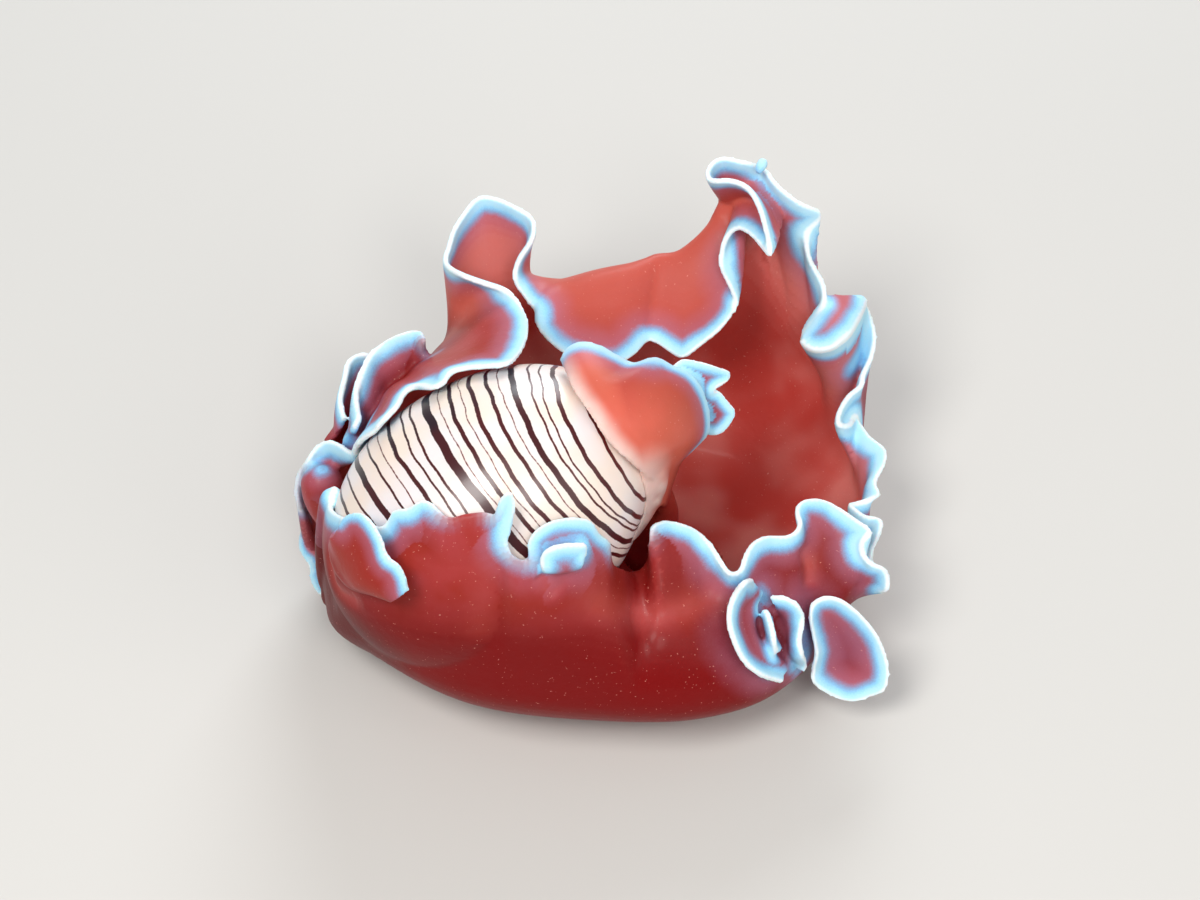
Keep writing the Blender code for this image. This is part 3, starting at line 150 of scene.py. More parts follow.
# Each fold of the margin: name, azimuths of its root, lean of the sheet at
# its edge (0 up, 90 inwards, -90 outwards), kind of third value, and points
FOLDS = (
    ("tail_edge_lower", 342, 356, -65, AT_HEIGHT, (
        (872, 556, 12), (879, 538, 13.5), (883, 525, 14), (880, 517, 14), (866, 516, 14),
        (853, 506, 14), (849, 504, 14), (858, 503, 13.5))),
    ("tail_edge_middle", 356, 372, -65, AT_HEIGHT, (
        (871, 500, 13.5), (881, 496, 14), (876, 482, 14), (885, 466, 14.5), (887, 450, 15),
        (878, 442, 15), (870, 436, 15), (862, 424, 15), (855, 416, 15.5))),
    ("tail_edge_upper", 372, 383, -25, AT_HEIGHT, (
        (851, 424, 16.5), (838, 424, 17.5), (841, 408, 18), (851, 393, 18.5), (863, 384, 18.5),
        (863, 376, 18.5))),
    ("right_rear_low_lobe", 383, 390, -25, AT_HEIGHT, (
        (872, 356, 18.5), (876, 338, 19.5), (873, 320, 20.5))),
    ("right_rear_small_lobe", 390, 398, 5, AT_HEIGHT, (
        (866, 304, 22.0), (858, 317, 23.2), (847, 335, 23.8), (831, 348, 23.5), (812, 349, 23.5),
        (801, 340, 23.5))),
    ("right_rear_tall_lobe", 398, 418, 0, AT_HEIGHT, (
        (818, 317, 24), (825, 289, 26), (809, 255, 29), (807, 232, 31), (822, 213, 33),
        (800, 202, 35), (777, 184, 36.5), (762, 166, 37), (743, 161, 38), (720, 157, 38),
        (708, 168, 38))),
    ("right_rear_tongue", 418, 426, 40, AT_HEIGHT, (
        (711, 180, 39), (730, 180, 39.5), (747, 187, 39), (759, 207, 38), (766, 232, 36.5),
        (770, 257, 35.5))),
    ("right_rear_curl", 426, 442, 105, AT_HEIGHT, (
        (752, 237, 35), (736, 229, 34.5), (724, 243, 33), (720, 268, 31), (729, 287, 30),
        (736, 307, 28), (724, 326, 27), (698, 348, 25), (682, 359, 24), (669, 352, 24),
        (649, 341, 24), (636, 354, 24))),
    ("right_middle_curl", 442, 464, 122, AT_HEIGHT, (
        (618, 364, 24), (590, 362, 24), (564, 354, 24.5), (550, 343, 25), (538, 330, 26),
        (536, 314, 26), (524, 298, 27), (514, 280, 27.5))),
    ("right_front_tall_lobe", 464, 486, 10, AT_HEIGHT, (
        (519, 260, 29), (533, 238, 31), (533, 218, 31.5), (517, 207, 32), (497, 198, 32),
        (479, 196, 32), (463, 214, 31), (453, 231, 30.5), (449, 246, 30), (445, 260, 29.8))),
    ("right_front_curl", 486, 496, 80, AT_HEIGHT, (
        (462, 275, 31.5), (488, 285, 31), (512, 294, 31), (526, 314, 31), (528, 336, 32.5),
        (519, 356, 35))),
    ("right_shell_edge", 496, 512, 50, ON_SHELL, (
        (506, 365, 1.0), (488, 367, 1.0), (470, 368, 1.0), (452, 372, 1.2), (445, 383, 1.0),
        (434, 388, 1.0), (419, 385, 1.2), (407, 391, 1.2), (398, 406, 1.0), (386, 418, 1.3))),
    ("front_fold", 512, 538, 10, AT_HEIGHT, (
        (376, 430, 31), (367, 443, 28), (359, 451, 25), (350, 451, 23), (340, 444, 22),
        (327, 440, 21), (316, 446, 20), (308, 458, 19))),
    ("front_corner", 538, 546, -10, AT_HEIGHT, (
        (299, 469, 17), (295, 488, 15), (297, 504, 13), (303, 512, 10.5), (303, 523, 8))),
    ("front_edge", 546, 563, -70, AT_HEIGHT, (
        (299, 536, 6), (298, 546, 5), (304, 559, 4), (310, 567, 4), (309, 577, 3.2),
        (314, 588, 3.2), (319, 595, 3.6))),
    ("left_front_edge", 563, 569, 0, AT_HEIGHT, (
        (322, 592, 5), (322, 576, 8), (323, 550, 12), (327, 520, 17))),
    ("left_front_knobs", 569, 577, 30, AT_HEIGHT, (
        (329, 504, 20), (333, 492, 21), (339, 491, 22), (344, 496, 22), (350, 488, 23),
        (354, 493, 23), (351, 505, 23))),
    ("left_front_fold", 577, 589, 20, ON_SHELL, (
        (345, 518, 1.6), (356, 514, 1.6), (367, 519, 1.6), (376, 527, 1.4))),
    ("left_front_lobe", 589, 600, 60, ON_SHELL, (
        (385, 525, 1.2), (393, 510, 1.2), (409, 508, 1.2), (423, 499, 1.2), (434, 504, 1.1))),
    ("left_middle_edge", 600, 612, 70, ON_SHELL, (
        (448, 517, 1.1), (469, 513, 1.1), (487, 512, 1.2))),
    ("left_middle_tongue", 612, 616, 30, ON_SHELL, (
        (497, 515, 1.4), (504, 493, 2.6), (513, 491, 2.8), (515, 505, 2.4), (507, 527, 1.6),
        (506, 543, 1.4))),
    ("left_middle_roll", 616, 634, 60, ON_SHELL, (
        (513, 555, 1.4), (523, 560, 1.3), (531, 560, 1.3), (531, 550, 1.3), (528, 541, 1.2),
        (534, 531, 1.2), (550, 521, 1.2), (573, 517, 1.4), (592, 521, 1.4), (597, 531, 1.3),
        (608, 541, 1.3), (609, 553, 1.2))),
    ("left_rear_notch", 634, 641, 60, ON_SHELL, (
        (611, 563, 1.2), (621, 569, 1.2), (632, 572, 1.2), (643, 569, 1.4), (650, 557, 1.8),
        (650, 541, 2.2))),
    ("left_rear_lobe", 641, 659, 30, AT_HEIGHT, (
        (650, 528, 25), (657, 522, 25), (668, 520, 24.5), (685, 524, 24), (700, 532, 23),
        (712, 545, 22.5), (722, 563, 22), (729, 573, 21.5))),
    ("tail_left_lobe", 659, 698, 30, AT_HEIGHT, (
        (740, 570, 21), (746, 552, 21), (754, 541, 21), (768, 535, 20.5), (784, 536, 20),
        (796, 531, 20), (800, 520, 20), (795, 509, 20), (802, 500, 20), (814, 498, 20),
        (828, 501, 19.5), (842, 509, 19), (858, 520, 18.5), (872, 531, 18), (861, 541, 17.5),
        (862, 553, 16.5), (873, 564, 16), (884, 567, 15.5), (889, 580, 14), (886, 594, 12.5))),
)

# Folds at which an even run of steps along the edge begins
RUN_STARTS = ("tail_edge_lower", "right_rear_low_lobe", "right_rear_curl", "right_middle_curl",
              "right_front_tall_lobe", "right_shell_edge", "front_fold", "left_front_edge",
              "left_front_lobe", "left_middle_roll", "left_rear_lobe", "tail_left_lobe")

# How full the foot's wall is drawn: azimuth, above its shoulder, near its
# edge. The far roll stands up where it turns into the rear lobe
CREST = (
    (50, 0.35, 0.3), (62, 1.0, 0.7), (72, 1.6, 1.2), (80, 1.1, 0.9), (95, 0.5, 0.5),
    (115, 0.35, 0.3))

# Sheets that grow from the outer face of the foot: name, kind of third
# value, extra mm off the foot, bulge in mm, points of the free edge, kind of
# root and its points, as azimuth and share of the wall's height or as seen
SHEETS = (
    ("front_leaf_inner", AT_HEIGHT, 0.0, (-0.6, 0.4, 0.8), (
        (427, 345, 27.5), (423, 333, 27.5), (415, 330, 27.5), (402, 333, 27.5), (386, 340, 27.2),
        (371, 353, 26.8), (361, 373, 26.2), (357, 395, 25.6), (361, 418, 25.2), (370, 438, 25.4)),
     ROUND, (
        (139, 0.62), (141, 0.6), (144, 0.6), (149, 0.62), (156, 0.64), (161, 0.7))),
    ("front_leaf_outer", AT_HEIGHT, 1.3, (-0.8, 0.4, 0.4), (
        (372, 356, 22.8), (365, 354, 23), (357, 354, 23), (349, 360, 23), (345, 378, 22.8),
        (341, 400, 22.4), (347, 422, 22), (356, 436, 22)),
     ROUND, (
        (143, 0.44), (149, 0.46), (155, 0.48), (161, 0.52), (165, 0.55))),
    ("left_front_flap", ON_SHELL, 0.0, (-1.0, -1.5, 0.0), (
        (345, 521, 3.4), (351, 514, 3.6), (361, 513, 3.7), (372, 522, 3.9), (382, 539, 4.1),
        (388, 556, 4.2), (399, 564, 4.2), (406, 576, 4.0), (409, 589, 3.6)),
     SEEN, (
        (343, 530), (340, 545), (340, 558), (344, 570), (353, 580), (362, 584), (381, 587),
        (400, 586))),
    ("left_roll_flap", ON_SHELL, 0.0, (0.0, -0.3, 0.2), (
        (538, 563, 2.0), (540, 555, 2.8), (548, 548, 3.4), (561, 544, 3.7), (575, 543, 3.7),
        (587, 544, 3.6), (584, 553, 3.0)),
     SEEN, (
        (541, 564), (549, 568), (559, 568), (569, 566), (578, 561))),
    ("tail_crescent", ON_WALL, 0.0, (0.0, 0.0, 0.0), (
        (751, 578, 2.2), (744, 582, 3.0), (733, 596, 3.6), (728, 618, 3.8), (733, 640, 3.6),
        (744, 662, 3.2), (761, 676, 2.8), (783, 683, 2.2)),
     SEEN, (
        (754, 592), (750, 604), (748, 618), (750, 632), (757, 645), (767, 654), (779, 661))),
    ("tail_fold_inner", ON_WALL, 0.0, (0.0, -0.2, 0.0), (
        (764, 608, 1.8), (768, 614, 2.6), (772, 627, 3.0), (775, 644, 2.8), (777, 653, 2.0)),
     SEEN, (
        (763, 616), (764, 625), (766, 634), (769, 641), (773, 647))),
    ("tail_fold", ON_WALL, 0.0, (0.0, -0.4, 0.0), (
        (770, 596, 1.8), (778, 596, 2.6), (788, 598, 3.2), (799, 605, 3.4), (804, 616, 3.4),
        (802, 628, 3.2), (800, 641, 3.0), (803, 653, 2.6), (807, 662, 2.2), (805, 670, 1.8)),
     SEEN, (
        (777, 608), (782, 614), (785, 624), (786, 634), (787, 644), (790, 652), (795, 660))),
)
SHEET_ROOT_THICKNESS = 1.2
SHEET_THICKNESS = 0.8
SHEET_STEP = 0.5
SHEET_ROWS = 14

# The cup beside the tail: its rim, how far it is sunk, its thickness, the
# way its back faces, and its stalk as distance behind it and radius
CUP_RIM = (
    (811, 605, 16), (818, 599, 16.5), (829, 596, 16.5), (843, 600, 16), (861, 614, 14.5),
    (876, 632, 12.5), (885, 650, 10.5), (890, 672, 8.2), (885, 690, 6.2), (870, 697, 5.2),
    (852, 702, 4.8), (836, 698, 5.2), (824, 692, 6), (812, 682, 7.5), (812, 670, 9),
    (815, 654, 11), (812, 636, 13), (809, 619, 15))
CUP_DEPTH = 1.6
CUP_THICKNESS = 0.7
CUP_BACK = np.array((-0.30, 0.88, -0.37))
CUP_STALK = ((0.7, 1.6), (1.45, 1.4), (2.2, 1.2), (4.8, 1.4))
CUP_COLUMNS = 180
CUP_ROWS = 18

# The mantle lobe over the spire: the edge that lies on the shell, and the
# free edge, which turns down beside the shell
MANTLE_NEAR_EDGE = (
    (563, 364, 0.8), (566, 374, 0.8), (574, 392, 0.8), (589, 414, 0.8), (607, 441, 0.8),
    (625, 459, 0.8), (647, 478, 0.8), (658, 491, 0.9), (657, 504, 1.0))
MANTLE_FREE_EDGE = (
    (565, 358, 36.3), (570, 349, 37.0), (582, 344, 37.4), (598, 347, 37.2), (614, 356, 36.4),
    (634, 366, 35.4), (645, 363, 35.0), (657, 360, 34.6), (670, 367, 33.8), (686, 374, 32.8),
    (697, 385, 31.6), (704, 401, 30.0), (707, 416, 28.5), (706, 430, 27.0), (692, 446, 24.0),
    (679, 459, 21.8), (672, 477, 19.0), (667, 492, 16.6), (662, 507, 14.6))
MANTLE_RISE = 2.6
MANTLE_GRID = (120, 30)
# Thickness from the edge on the shell to the full one, which is reached at
# a share of the way across
MANTLE_THICKNESS = (0.35, 0.95, 0.25)
# The ear behind the lobe, from its root to its edge
MANTLE_EAR_ROOT = (
    (667, 376, 32.2), (682, 386, 30.8), (692, 399, 29.2), (698, 413, 27.4), (701, 426, 25.8))
MANTLE_EAR = (
    (670, 368, 32.8), (682, 359, 33.4), (697, 361, 33.0), (715, 366, 32.0), (731, 373, 30.8),
    (728, 381, 30.4), (717, 387, 30.2), (714, 391, 29.8), (719, 391, 29.4), (728, 401, 28.4),
    (736, 412, 27.2), (732, 422, 26.4), (724, 432, 25.8), (714, 436, 25.6), (706, 433, 25.4))
# The mantle's hem beside the shell, swept back round the shell
MANTLE_HEM = (
    (641, 471, 0.2), (646, 486, 0.2), (647, 500, 0.2), (644, 515, 0.2), (638, 529, 0.2),
    (630, 544, 0.2))
HEM_SWEEP = (radians(-6), radians(48))
HEM_GRID = (50, 60)
HEM_THICKNESS = (0.15, 2.15, 1 / 2.6)
# Share of the thickness along the hem, from its top to its lower end
HEM_TAPER = ((0, 0.6, 1), (1, 0.9, 0.2))
# Thickness of the ear and of the small leaf
LEAF_THICKNESS = 0.62
# The stalk of flesh between the mantle and the foot: x, y, z, radius
TRUNK = ((5.6, -0.4, 19.0, 1.3), (6.2, -0.8, 16.0, 1.5), (7.1, -1.2, 13.6, 1.3),
         (6.7, -1.6, 11.6, 1.8), (5.9, -2.2, 9.6, 2.0), (3.6, -3.6, 6.0, 3.0))

# The head under the front folds, as in the species, how far its lobe is
# sunk towards its middle, and its neck with radii
HEAD_CENTRE = np.array((-23.8, -0.5, 5.8))
LOBE_SUNK = 0.25
HEAD_HALF_SIZE = np.array((4.0, 4.4, 2.7))
NECK = ((-23.8, -0.5, 5.8, 2.3), (-18.0, -2.5, 5.0, 2.8), (-12.0, -4.0, 4.5, 3.2),
        (-6.0, -5.0, 4.0, 3.4))
EYE_RADIUS = 0.45
EYE_RISE = 0.1
EYE_PLACES = (("eye_left", (-0.2, -1.6)), ("eye_right", (-0.2, 1.6)))
# The left lobe of the head shield, from its root on the head to its edge
LOBE_ROOT = ((-24.6, -4.0, 8.0), (-24.8, -3.4, 8.4), (-24.6, -2.8, 8.7))
LOBE_EDGE = ((-26.6, -5.8, 9.4), (-27.1, -4.8, 11.4), (-27.0, -3.8, 12.2), (-26.4, -3.2, 11.6))
# The right lobe is rolled to a blunt hood: x, y, z, radius
HOOD = ((-26.6, -0.7, 10.5, 2.0), (-28.4, -0.8, 12.1, 2.2), (-29.5, -0.5, 14.9, 2.3),
        (-29.6, -0.3, 17.5, 2.3), (-29.5, -0.1, 19.1, 2.1))
HOOD_TIP_RISE = 1.2

# Blunt folds at the front of the left side: column, row, height, radius
FINGERS = (
    ((330, 604, 6.0, 0.8), (326, 575, 10.5, 1.0), (326, 545, 15.5, 1.2),
     (331, 510, 20.8, 1.4), (335, 490, 23.4, 1.4)),
    ((344, 565, 13.0, 0.7), (343, 535, 18.5, 1.0), (349, 508, 22.4, 1.2),
     (353, 488, 25.0, 1.2)),
    ((757, 174, 37.6, 0.5), (761, 166, 38.0, 0.6), (766, 159, 38.4, 0.75)),
)

# The small leaf at the right rear that is folded inwards: its free edge
# and its root, as image column and row and height
SMALL_LEAF_EDGE = (
    (801, 342, 23.5), (812, 350, 23.5), (830, 350, 23.6), (846, 337, 23.8), (858, 318, 23.2),
    (866, 300, 22.2))
SMALL_LEAF_ROOT = (
    (803, 332, 23.3), (810, 322, 23.6), (820, 310, 24.2), (830, 300, 24.4), (846, 298, 23.6),
    (862, 297, 22.4))

# Creases pressed into the foot's outer face: steps along each and over which
# its ends fade, then depth, half width in mm, and image columns and rows
CREASE_STEPS = 80
CREASE_FADE = 12
CREASES = (
    (0.5, 1.7, ((570, 588), (585, 596), (605, 606), (630, 613), (660, 615),
                 (690, 607), (712, 592), (735, 572))),
    (0.2, 1.6, ((489, 548), (486, 570), (482, 600), (480, 640))),
    (0.5, 1.0, ((538, 572), (548, 584), (560, 592))),
    (0.5, 0.9, ((366, 600), (350, 596), (338, 584), (333, 560),
                (337, 535))),
    (0.4, 0.8, ((327, 600), (325, 575), (323, 550))),
    (0.5, 1.1, ((800, 545), (806, 565), (806, 590))),
)

# The skin: size of its cells in mm, and how often and by what share it is
# smoothed, first all over and then along the bowl's floor
CELL = 0.27
SMOOTH_ROUNDS = 5
SMOOTH_SHARE = 0.5
FLOOR_ROUNDS = 80
FLOOR_SHARE = 0.6
# Where the floor is smoothed: reach in shares of the sole's size, and heights
FLOOR_REACH = (1.35, 1.35 - 1 / 6)
FLOOR_LOW = (1.2, 1.7)
FLOOR_HIGH = (8, 5)

# The shell's mesh: columns round it, and rows in its lined part, which lies
# between two polar angles in degrees, and towards each pole
SHELL_COLUMNS = 300
LINED_PART = (18, 160)
LINED_ROWS = 640
POLE_ROWS = 31

# The shell's lines: polar angles in degrees at LINE_TURNS, width in mm,
# and how red the line is, 0 black to 1 red
LINE_TURNS = (110, 136, 160, 200, 275)
LINES = (
    ((24, 24, 24, 27, 38), 0.45, 0.6),
    ((34.0, 33.0, 34.5, 37.5, 44), 0.50, 0.3),
    ((38.6, 38.2, 39.6, 42.8, 46.5), 0.18, 0.5),
    ((42.8, 41.9, 42.8, 45.4, 48), 0.22, 0.5),
    ((48.9, 47.6, 48.2, 49.9, 52.2), 0.62, 0.1),
    ((53.6, 52.0, 52.0, 53.0, 55), 0.10, 1.0),
    ((57.3, 55.6, 55.5, 56.4, 57.5), 0.40, 0.3),
    ((62.8, 61.2, 60.9, 61.3, 62), 0.46, 0.3),
    ((66.4, 64.6, 64.0, 64.2, 65), 0.10, 1.0),
    ((69.6, 68.2, 67.5, 66.8, 67.5), 0.44, 0.2),
    ((73.5, 71.6, 70.5, 70.0, 71), 0.10, 1.0),
    ((77.5, 75.8, 73.9, 72.4, 73.5), 0.92, 0.1),
    ((82.9, 81.3, 79.4, 77.8, 79), 0.26, 0.3),
    ((86.2, 84.7, 82.6, 80.8, 82), 0.22, 0.3),
    ((91.8, 89.2, 86.5, 84.2, 85.5), 0.46, 0.2),
    ((97.5, 94.0, 90.4, 87.8, 89), 0.12, 1.0),
    ((103.2, 99.0, 95.0, 92.0, 93.5), 0.24, 0.2),
    ((110.0, 106.2, 102.0, 98.6, 100), 0.75, 0.1),
    ((117.0, 113.5, 109.0, 105.4, 107), 0.26, 0.3),
    ((124.0, 120.5, 116.5, 113.0, 114), 0.45, 0.2),
    ((132.0, 129.0, 125.0, 122.0, 123), 0.20, 0.4),
    ((141.0, 138.5, 135.0, 132.0, 133), 0.60, 0.2),
    ((152.0, 150.0, 147.0, 144.5, 145), 0.30, 0.3),
)
# Beyond these a line runs to its mean angle, which it has at LINE_ENDS. The
# corners are rounded off by so many rounds of smoothing
LINE_ENDS = (-60, 420)
LINE_ROUNDS = 40
# At this turn of an old growth line the lines step aside by LINE_JOG
# degrees, this sharply. They wave elsewhere: degrees, waves per turn, shift
# by line
GROWTH_LINE_TURN = 141.0
LINE_JOG = 0.35
JOG_SHARPNESS = 1.2
LINE_WAVES = ((0.22, 9, 70), (0.12, 23, 131))

# How much narrower than usual the blue and white rim is drawn: on the cup,
# the small leaf, the ear, some sheets, and a stretch of the front edge
CUP_RIM_STRETCH = 0.95
LEAF_RIM_STRETCH = 0.7
EAR_RIM_STRETCH = 1.6
RIM_STRETCH = {"left_front_flap": 1.5, "left_roll_flap": 0.8, "tail_fold_inner": 1.2}
NARROW_RIM = (183, 208, 1.9)
# Azimuths where the edge is folded under and shows no rim, and where it is
# faint, with its strength there, and over how many mm these begin and end
BARE_RIM = ((241, 251), (256.5, 259.5), (272.5, 282))
FAINT_RIM = (177, 187, 0.55)
RIM_FADE = 2.0
# The rim of the inner front leaf starts faint: its least strength, and the
# share of the leaf's edge over which it grows to 1, as one part in so many
LEAF_RIM_START = (0.3, 12)
# Strength of the rim along the mantle's free edge, from front to rear
MANTLE_RIM = ((0, 0.3, 0.45, 0.68, 0.74, 1), (0.9, 0.9, 1, 1, 0, 0))

# The skin's colour guides: the measure in mm at which each is 0 and is 1.
# First the distances off the wall's outer face, from its middle and from
# the hood, hem and cup
OUTER_FACE = (0.0, 0.5)
INNER_FACE = (0.5, -0.5)
NEAR_WALL = (2.6, 1.6)
OFF_HOOD = (0.25, 0.75)
OFF_HEM = (0.15, 0.65)
NEAR_CUP = (4.8, 1.8)
# Places in the animal's frame: y of the far side, height of the painted shade
# that darkens the outer wall towards the bottom, y and height of the painted
# light on the far roll's top, and x, height and y of the painted shade low at
# the front
FAR_SIDE = (-14, -8)
LOW_SHADE_HEIGHT = (29, 21)
FAR_ROLL_LIGHT = ((10, 16), (20, 25))
FRONT_FOLD_SHADE = ((-19, -24), (21, 15), (-2, -6))
# How much of the inner colour is left on the near side, of the painted low
# shade on the hood, and of the mantle's distances at the hem
NEAR_SIDE_INNER = 0.25
HOOD_LOW_SHADE = 0.4
HEM_VEIL = 0.5
# Painted shade: the shell is darker low at its rear end, where the foot's
# walls shade it: height and x
SHELL_LOW = (23, 14)
SHELL_REAR = (-6, 1)
SHELL_SHADE = 0.75

# Bands along the rim, as mm from the edge at which each is 0 and is 1
WHITE_BAND = (0.55, 0.2)
BLUE_BAND = (2.2, 0.9)
BLUE_TINT = (0.4, 1.7)
LILAC_BAND = (4.6, 1.2)
# How many mm the bands' bounds waver, finely, broadly and on the inside
RIM_GRAIN = 0.4
RIM_PATCHES = 1.4
RIM_INSIDE = 0.5
# The mantle turns salmon and then red, as mm from its edge on the shell
MANTLE_SALMON = (0.2, 2.2)
MANTLE_RED = (2.5, 6.5)
# The same along the wall, as shares of its height: painted light from above
# turns the inner wall pinker towards its top, and near the edge it turns to
# the edge red
TOP_LIGHT_LEVEL = (0.3, 0.7)
EDGE_LEVEL = (1.0, 0.75)
# Noises: size of cell in mm and detail
NOISES = {
    "clouds": (6.0, 3.0),
    "haze": (11.0, 2.0),
    "specks": (0.3, 2.0),
    "rim grain": (0.16, 2.0),
    "relief": (0.9, 4.0),
    "shell ground": (7.0, 2.0),
    "line grain": (0.35, 3.0),
}
# The middle of a noise, its upper middle and its rare highest spots
NOISE_MIDDLE = (0.35, 0.65)
NOISE_HAZE = (0.4, 0.65)
NOISE_PEAKS = (0.69, 0.75)
# The skin's fine relief: strength, and depth in mm
RELIEF = (0.36, 0.12)
# A shell line's edge in mm, how much it wavers, and the turns at which the
# lines turn brown
LINE_EDGE = (0.05, -0.03)
LINE_GRAIN = 0.12
BROWN_TURNS = (138, 147)

# Colours as 0 to 255 in sRGB
COLOURS = {
    "brick red": (154, 44, 34),
    "dusky red": (162, 56, 56),
    # Painted shade: the outer wall darker red towards the bottom
    "low shade red": (122, 8, 8),
    # Painted light on the far roll's top, as lit from above
    "painted lit far roll": (196, 90, 76),
    # Painted shade in the hollow between the front folds
    "front fold shade": (84, 4, 6),
    "bowl red": (190, 66, 58),
    "bowl pink": (208, 116, 108),
    "bowl edge": (196, 70, 60),
    "mantle on shell": (244, 218, 210),
    "mantle salmon": (212, 102, 84),
    "mantle red": (150, 30, 32),
    "mantle brown": (176, 84, 60),
    "cup lilac": (118, 60, 84),
    "speck": (222, 150, 136),
    "lilac": (180, 122, 148),
    "pale blue": (184, 230, 250),
    "sky blue": (100, 190, 238),
    "rim white": (236, 248, 253),
    "shell white": (236, 226, 226),
    "shell cream": (240, 222, 208),
    "line black": (26, 14, 26),
    "line brown": (62, 16, 22),
    "line red": (120, 36, 34),
    "shell shade": (104, 74, 84),
    "floor": (202, 200, 196),
}
# Colours that never cover the one below in full, and the share they reach
SHARES = {
    "front fold shade": 0.7,
    "mantle brown": 0.3,
    "cup lilac": 0.6,
    "speck": 0.6,
    "lilac": 0.5,
    "line red": 0.6,
}
FLESH_SURFACE = {
    "Roughness": 0.45,
    "Subsurface Weight": 0.3,
    "Subsurface Radius": (1.0, 0.35, 0.25),
    "Subsurface Scale": 1.2 * MM,
    "Specular IOR Level": 0.12,
    "Coat Weight": 0.06,
    "Coat Roughness": 0.15,
}
SHELL_SURFACE = {
    "Roughness": 0.3,
    "Subsurface Weight": 0.15,
    "Subsurface Radius": (1.0, 0.6, 0.5),
    "Subsurface Scale": 0.8 * MM,
    "Coat Weight": 0.12,
    "Coat Roughness": 0.1,
}
EYE_SURFACE = {"Base Color": (0.01, 0.008, 0.01, 1.0), "Roughness": 0.08}
FLOOR_SURFACE = {"Base Color": "floor", "Roughness": 0.8}

# Lights: name, place and aim in metres, size, power and colour
LIGHTS = (
    ("key", (-0.16, -0.20, 0.42), (0.0, 0.0, 0.015), 0.20, 1.5, (1.0, 0.98, 0.95)),
    ("front", (0.10, -0.30, 0.38), (0.008, 0.0, 0.015), 0.16, 0.7, (1.0, 0.97, 0.95)),
    ("fill", (0.35, -0.25, 0.25), (0.0, 0.0, 0.015), 0.35, 0.5, (1.0, 0.93, 0.88)),
    ("rear", (0.05, 0.42, 0.25), (0.0, 0.0, 0.015), 0.3, 1.6, (0.93, 0.97, 1.0)),
)
SKY_COLOUR = (0.9, 0.95, 1.0, 1.0)
SKY_STRENGTH = 0.3
STAGE_REACH = 3000
SENSOR_WIDTH = 36.0
IMAGE_WIDTH = 1200


def unit(vectors):
    vectors = np.asarray(vectors, float)
    length = np.linalg.norm(vectors, axis=-1, keepdims=True)
    return vectors / np.maximum(length, 1e-9)


def ramp(values, low, high):
    """0 at low to 1 at high, or the other way round where low is more."""
    return np.clip((values - low) / (high - low), 0, 1)


def sight_line(column, row):
    """Direction from the viewer through a point of the reference image."""
    across = (column - IMAGE_CENTRE[0]) * MM_PER_PIXEL
    upwards = (IMAGE_CENTRE[1] - row) * MM_PER_PIXEL
    return unit(VIEW_TARGET + across * VIEW_RIGHT + upwards * VIEW_UP - VIEW_POINT)


def point_at_height(column, row, height):
    line = sight_line(column, row)
    return VIEW_POINT + line * (height - VIEW_POINT[2]) / line[2]


def shell_level(points, lift):
    """Below 1 inside the shell grown by lift, 1 on it, above 1 outside."""
    lift = np.asarray(lift)
    offset = np.asarray(points) - SHELL_CENTRE
    along = offset @ SHELL_AXIS
    side = offset - along[..., None] * SHELL_AXIS
    length = np.where(along > 0, SHELL_REAR_LENGTH, SHELL_FRONT_LENGTH)
    across = np.linalg.norm(side, axis=-1) / (SHELL_RADIUS + lift)
    return (along / (length + lift)) ** 2 + across ** 2


def point_on_shell(column, row, lift):
    """First point of the grown shell on a sight line, or the nearest one."""
    steps = np.linspace(SIGHT_NEAR, SIGHT_FAR, SHELL_SIGHT_STEPS)
    points = VIEW_POINT + steps[:, None] * sight_line(column, row)
    level = shell_level(points, lift)
    hit = np.argmax(level < 1) if (level < 1).any() else np.argmin(level)
    return points[hit]


def clear_of_shell(points, lift):
    """Move points that lie inside the grown shell straight out to it."""
    for _ in range(3):
        level = shell_level(points, lift)
        outward = np.where(level < 1, 1 / np.sqrt(np.maximum(level, 1e-6)), 1.0)
        points = SHELL_CENTRE + (points - SHELL_CENTRE) * outward[..., None]
    return points


def placed(kind, points):
    """Points of an edge in space, from image places and a third value."""
    place = point_on_shell if kind == ON_SHELL else point_at_height
    return np.array([place(*point) for point in points])


def blend_span(p0, p1, p2, p3):
    """Steps of one centripetal span, from p1 to just before p2."""
    knots = [0.0]
    for a, b in ((p0, p1), (p1, p2), (p2, p3)):
        knots.append(knots[-1] + max(np.linalg.norm(b - a), 1e-6) ** 0.5)
    t0, t1, t2, t3 = knots
    t = np.linspace(t1, t2, SPAN_STEPS + 1)[:-1, None]

    def between(p, q, start, end):
        return ((end - t) * p + (t - start) * q) / (end - start)

    a1, a2, a3 = between(p0, p1, t0, t1), between(p1, p2, t1, t2), between(p2, p3, t2, t3)
    return between(between(a1, a2, t0, t2), between(a2, a3, t1, t3), t1, t2)


def spans(points, closed=False):
    """Fine steps from each point to the next on a smooth curve."""
    if closed:
        padded = np.vstack((points[-1:], points, points[:2]))
    else:
        padded = np.vstack((2 * points[0] - points[1], points, 2 * points[-1] - points[-2]))
    return [blend_span(*four) for four in zip(padded, padded[1:], padded[2:], padded[3:])]


def distances(points):
    """How far each point of a row is along it."""
    steps = np.linalg.norm(np.diff(points[:, :3], axis=0), axis=1)
    return np.concatenate(([0.0], np.cumsum(steps)))


def even_steps(points, count):
    """Resample a polyline to count points at equal distances."""
    along = distances(points)
    wanted = np.linspace(0.0, along[-1], count)
    return np.stack([np.interp(wanted, along, column) for column in points.T], axis=1)


def curve_through(points, count):
    """Points at equal steps on a smooth open curve through given points."""
    points = np.asarray(points, float)
    return even_steps(np.vstack(spans(points) + [points[-1:]]), count)


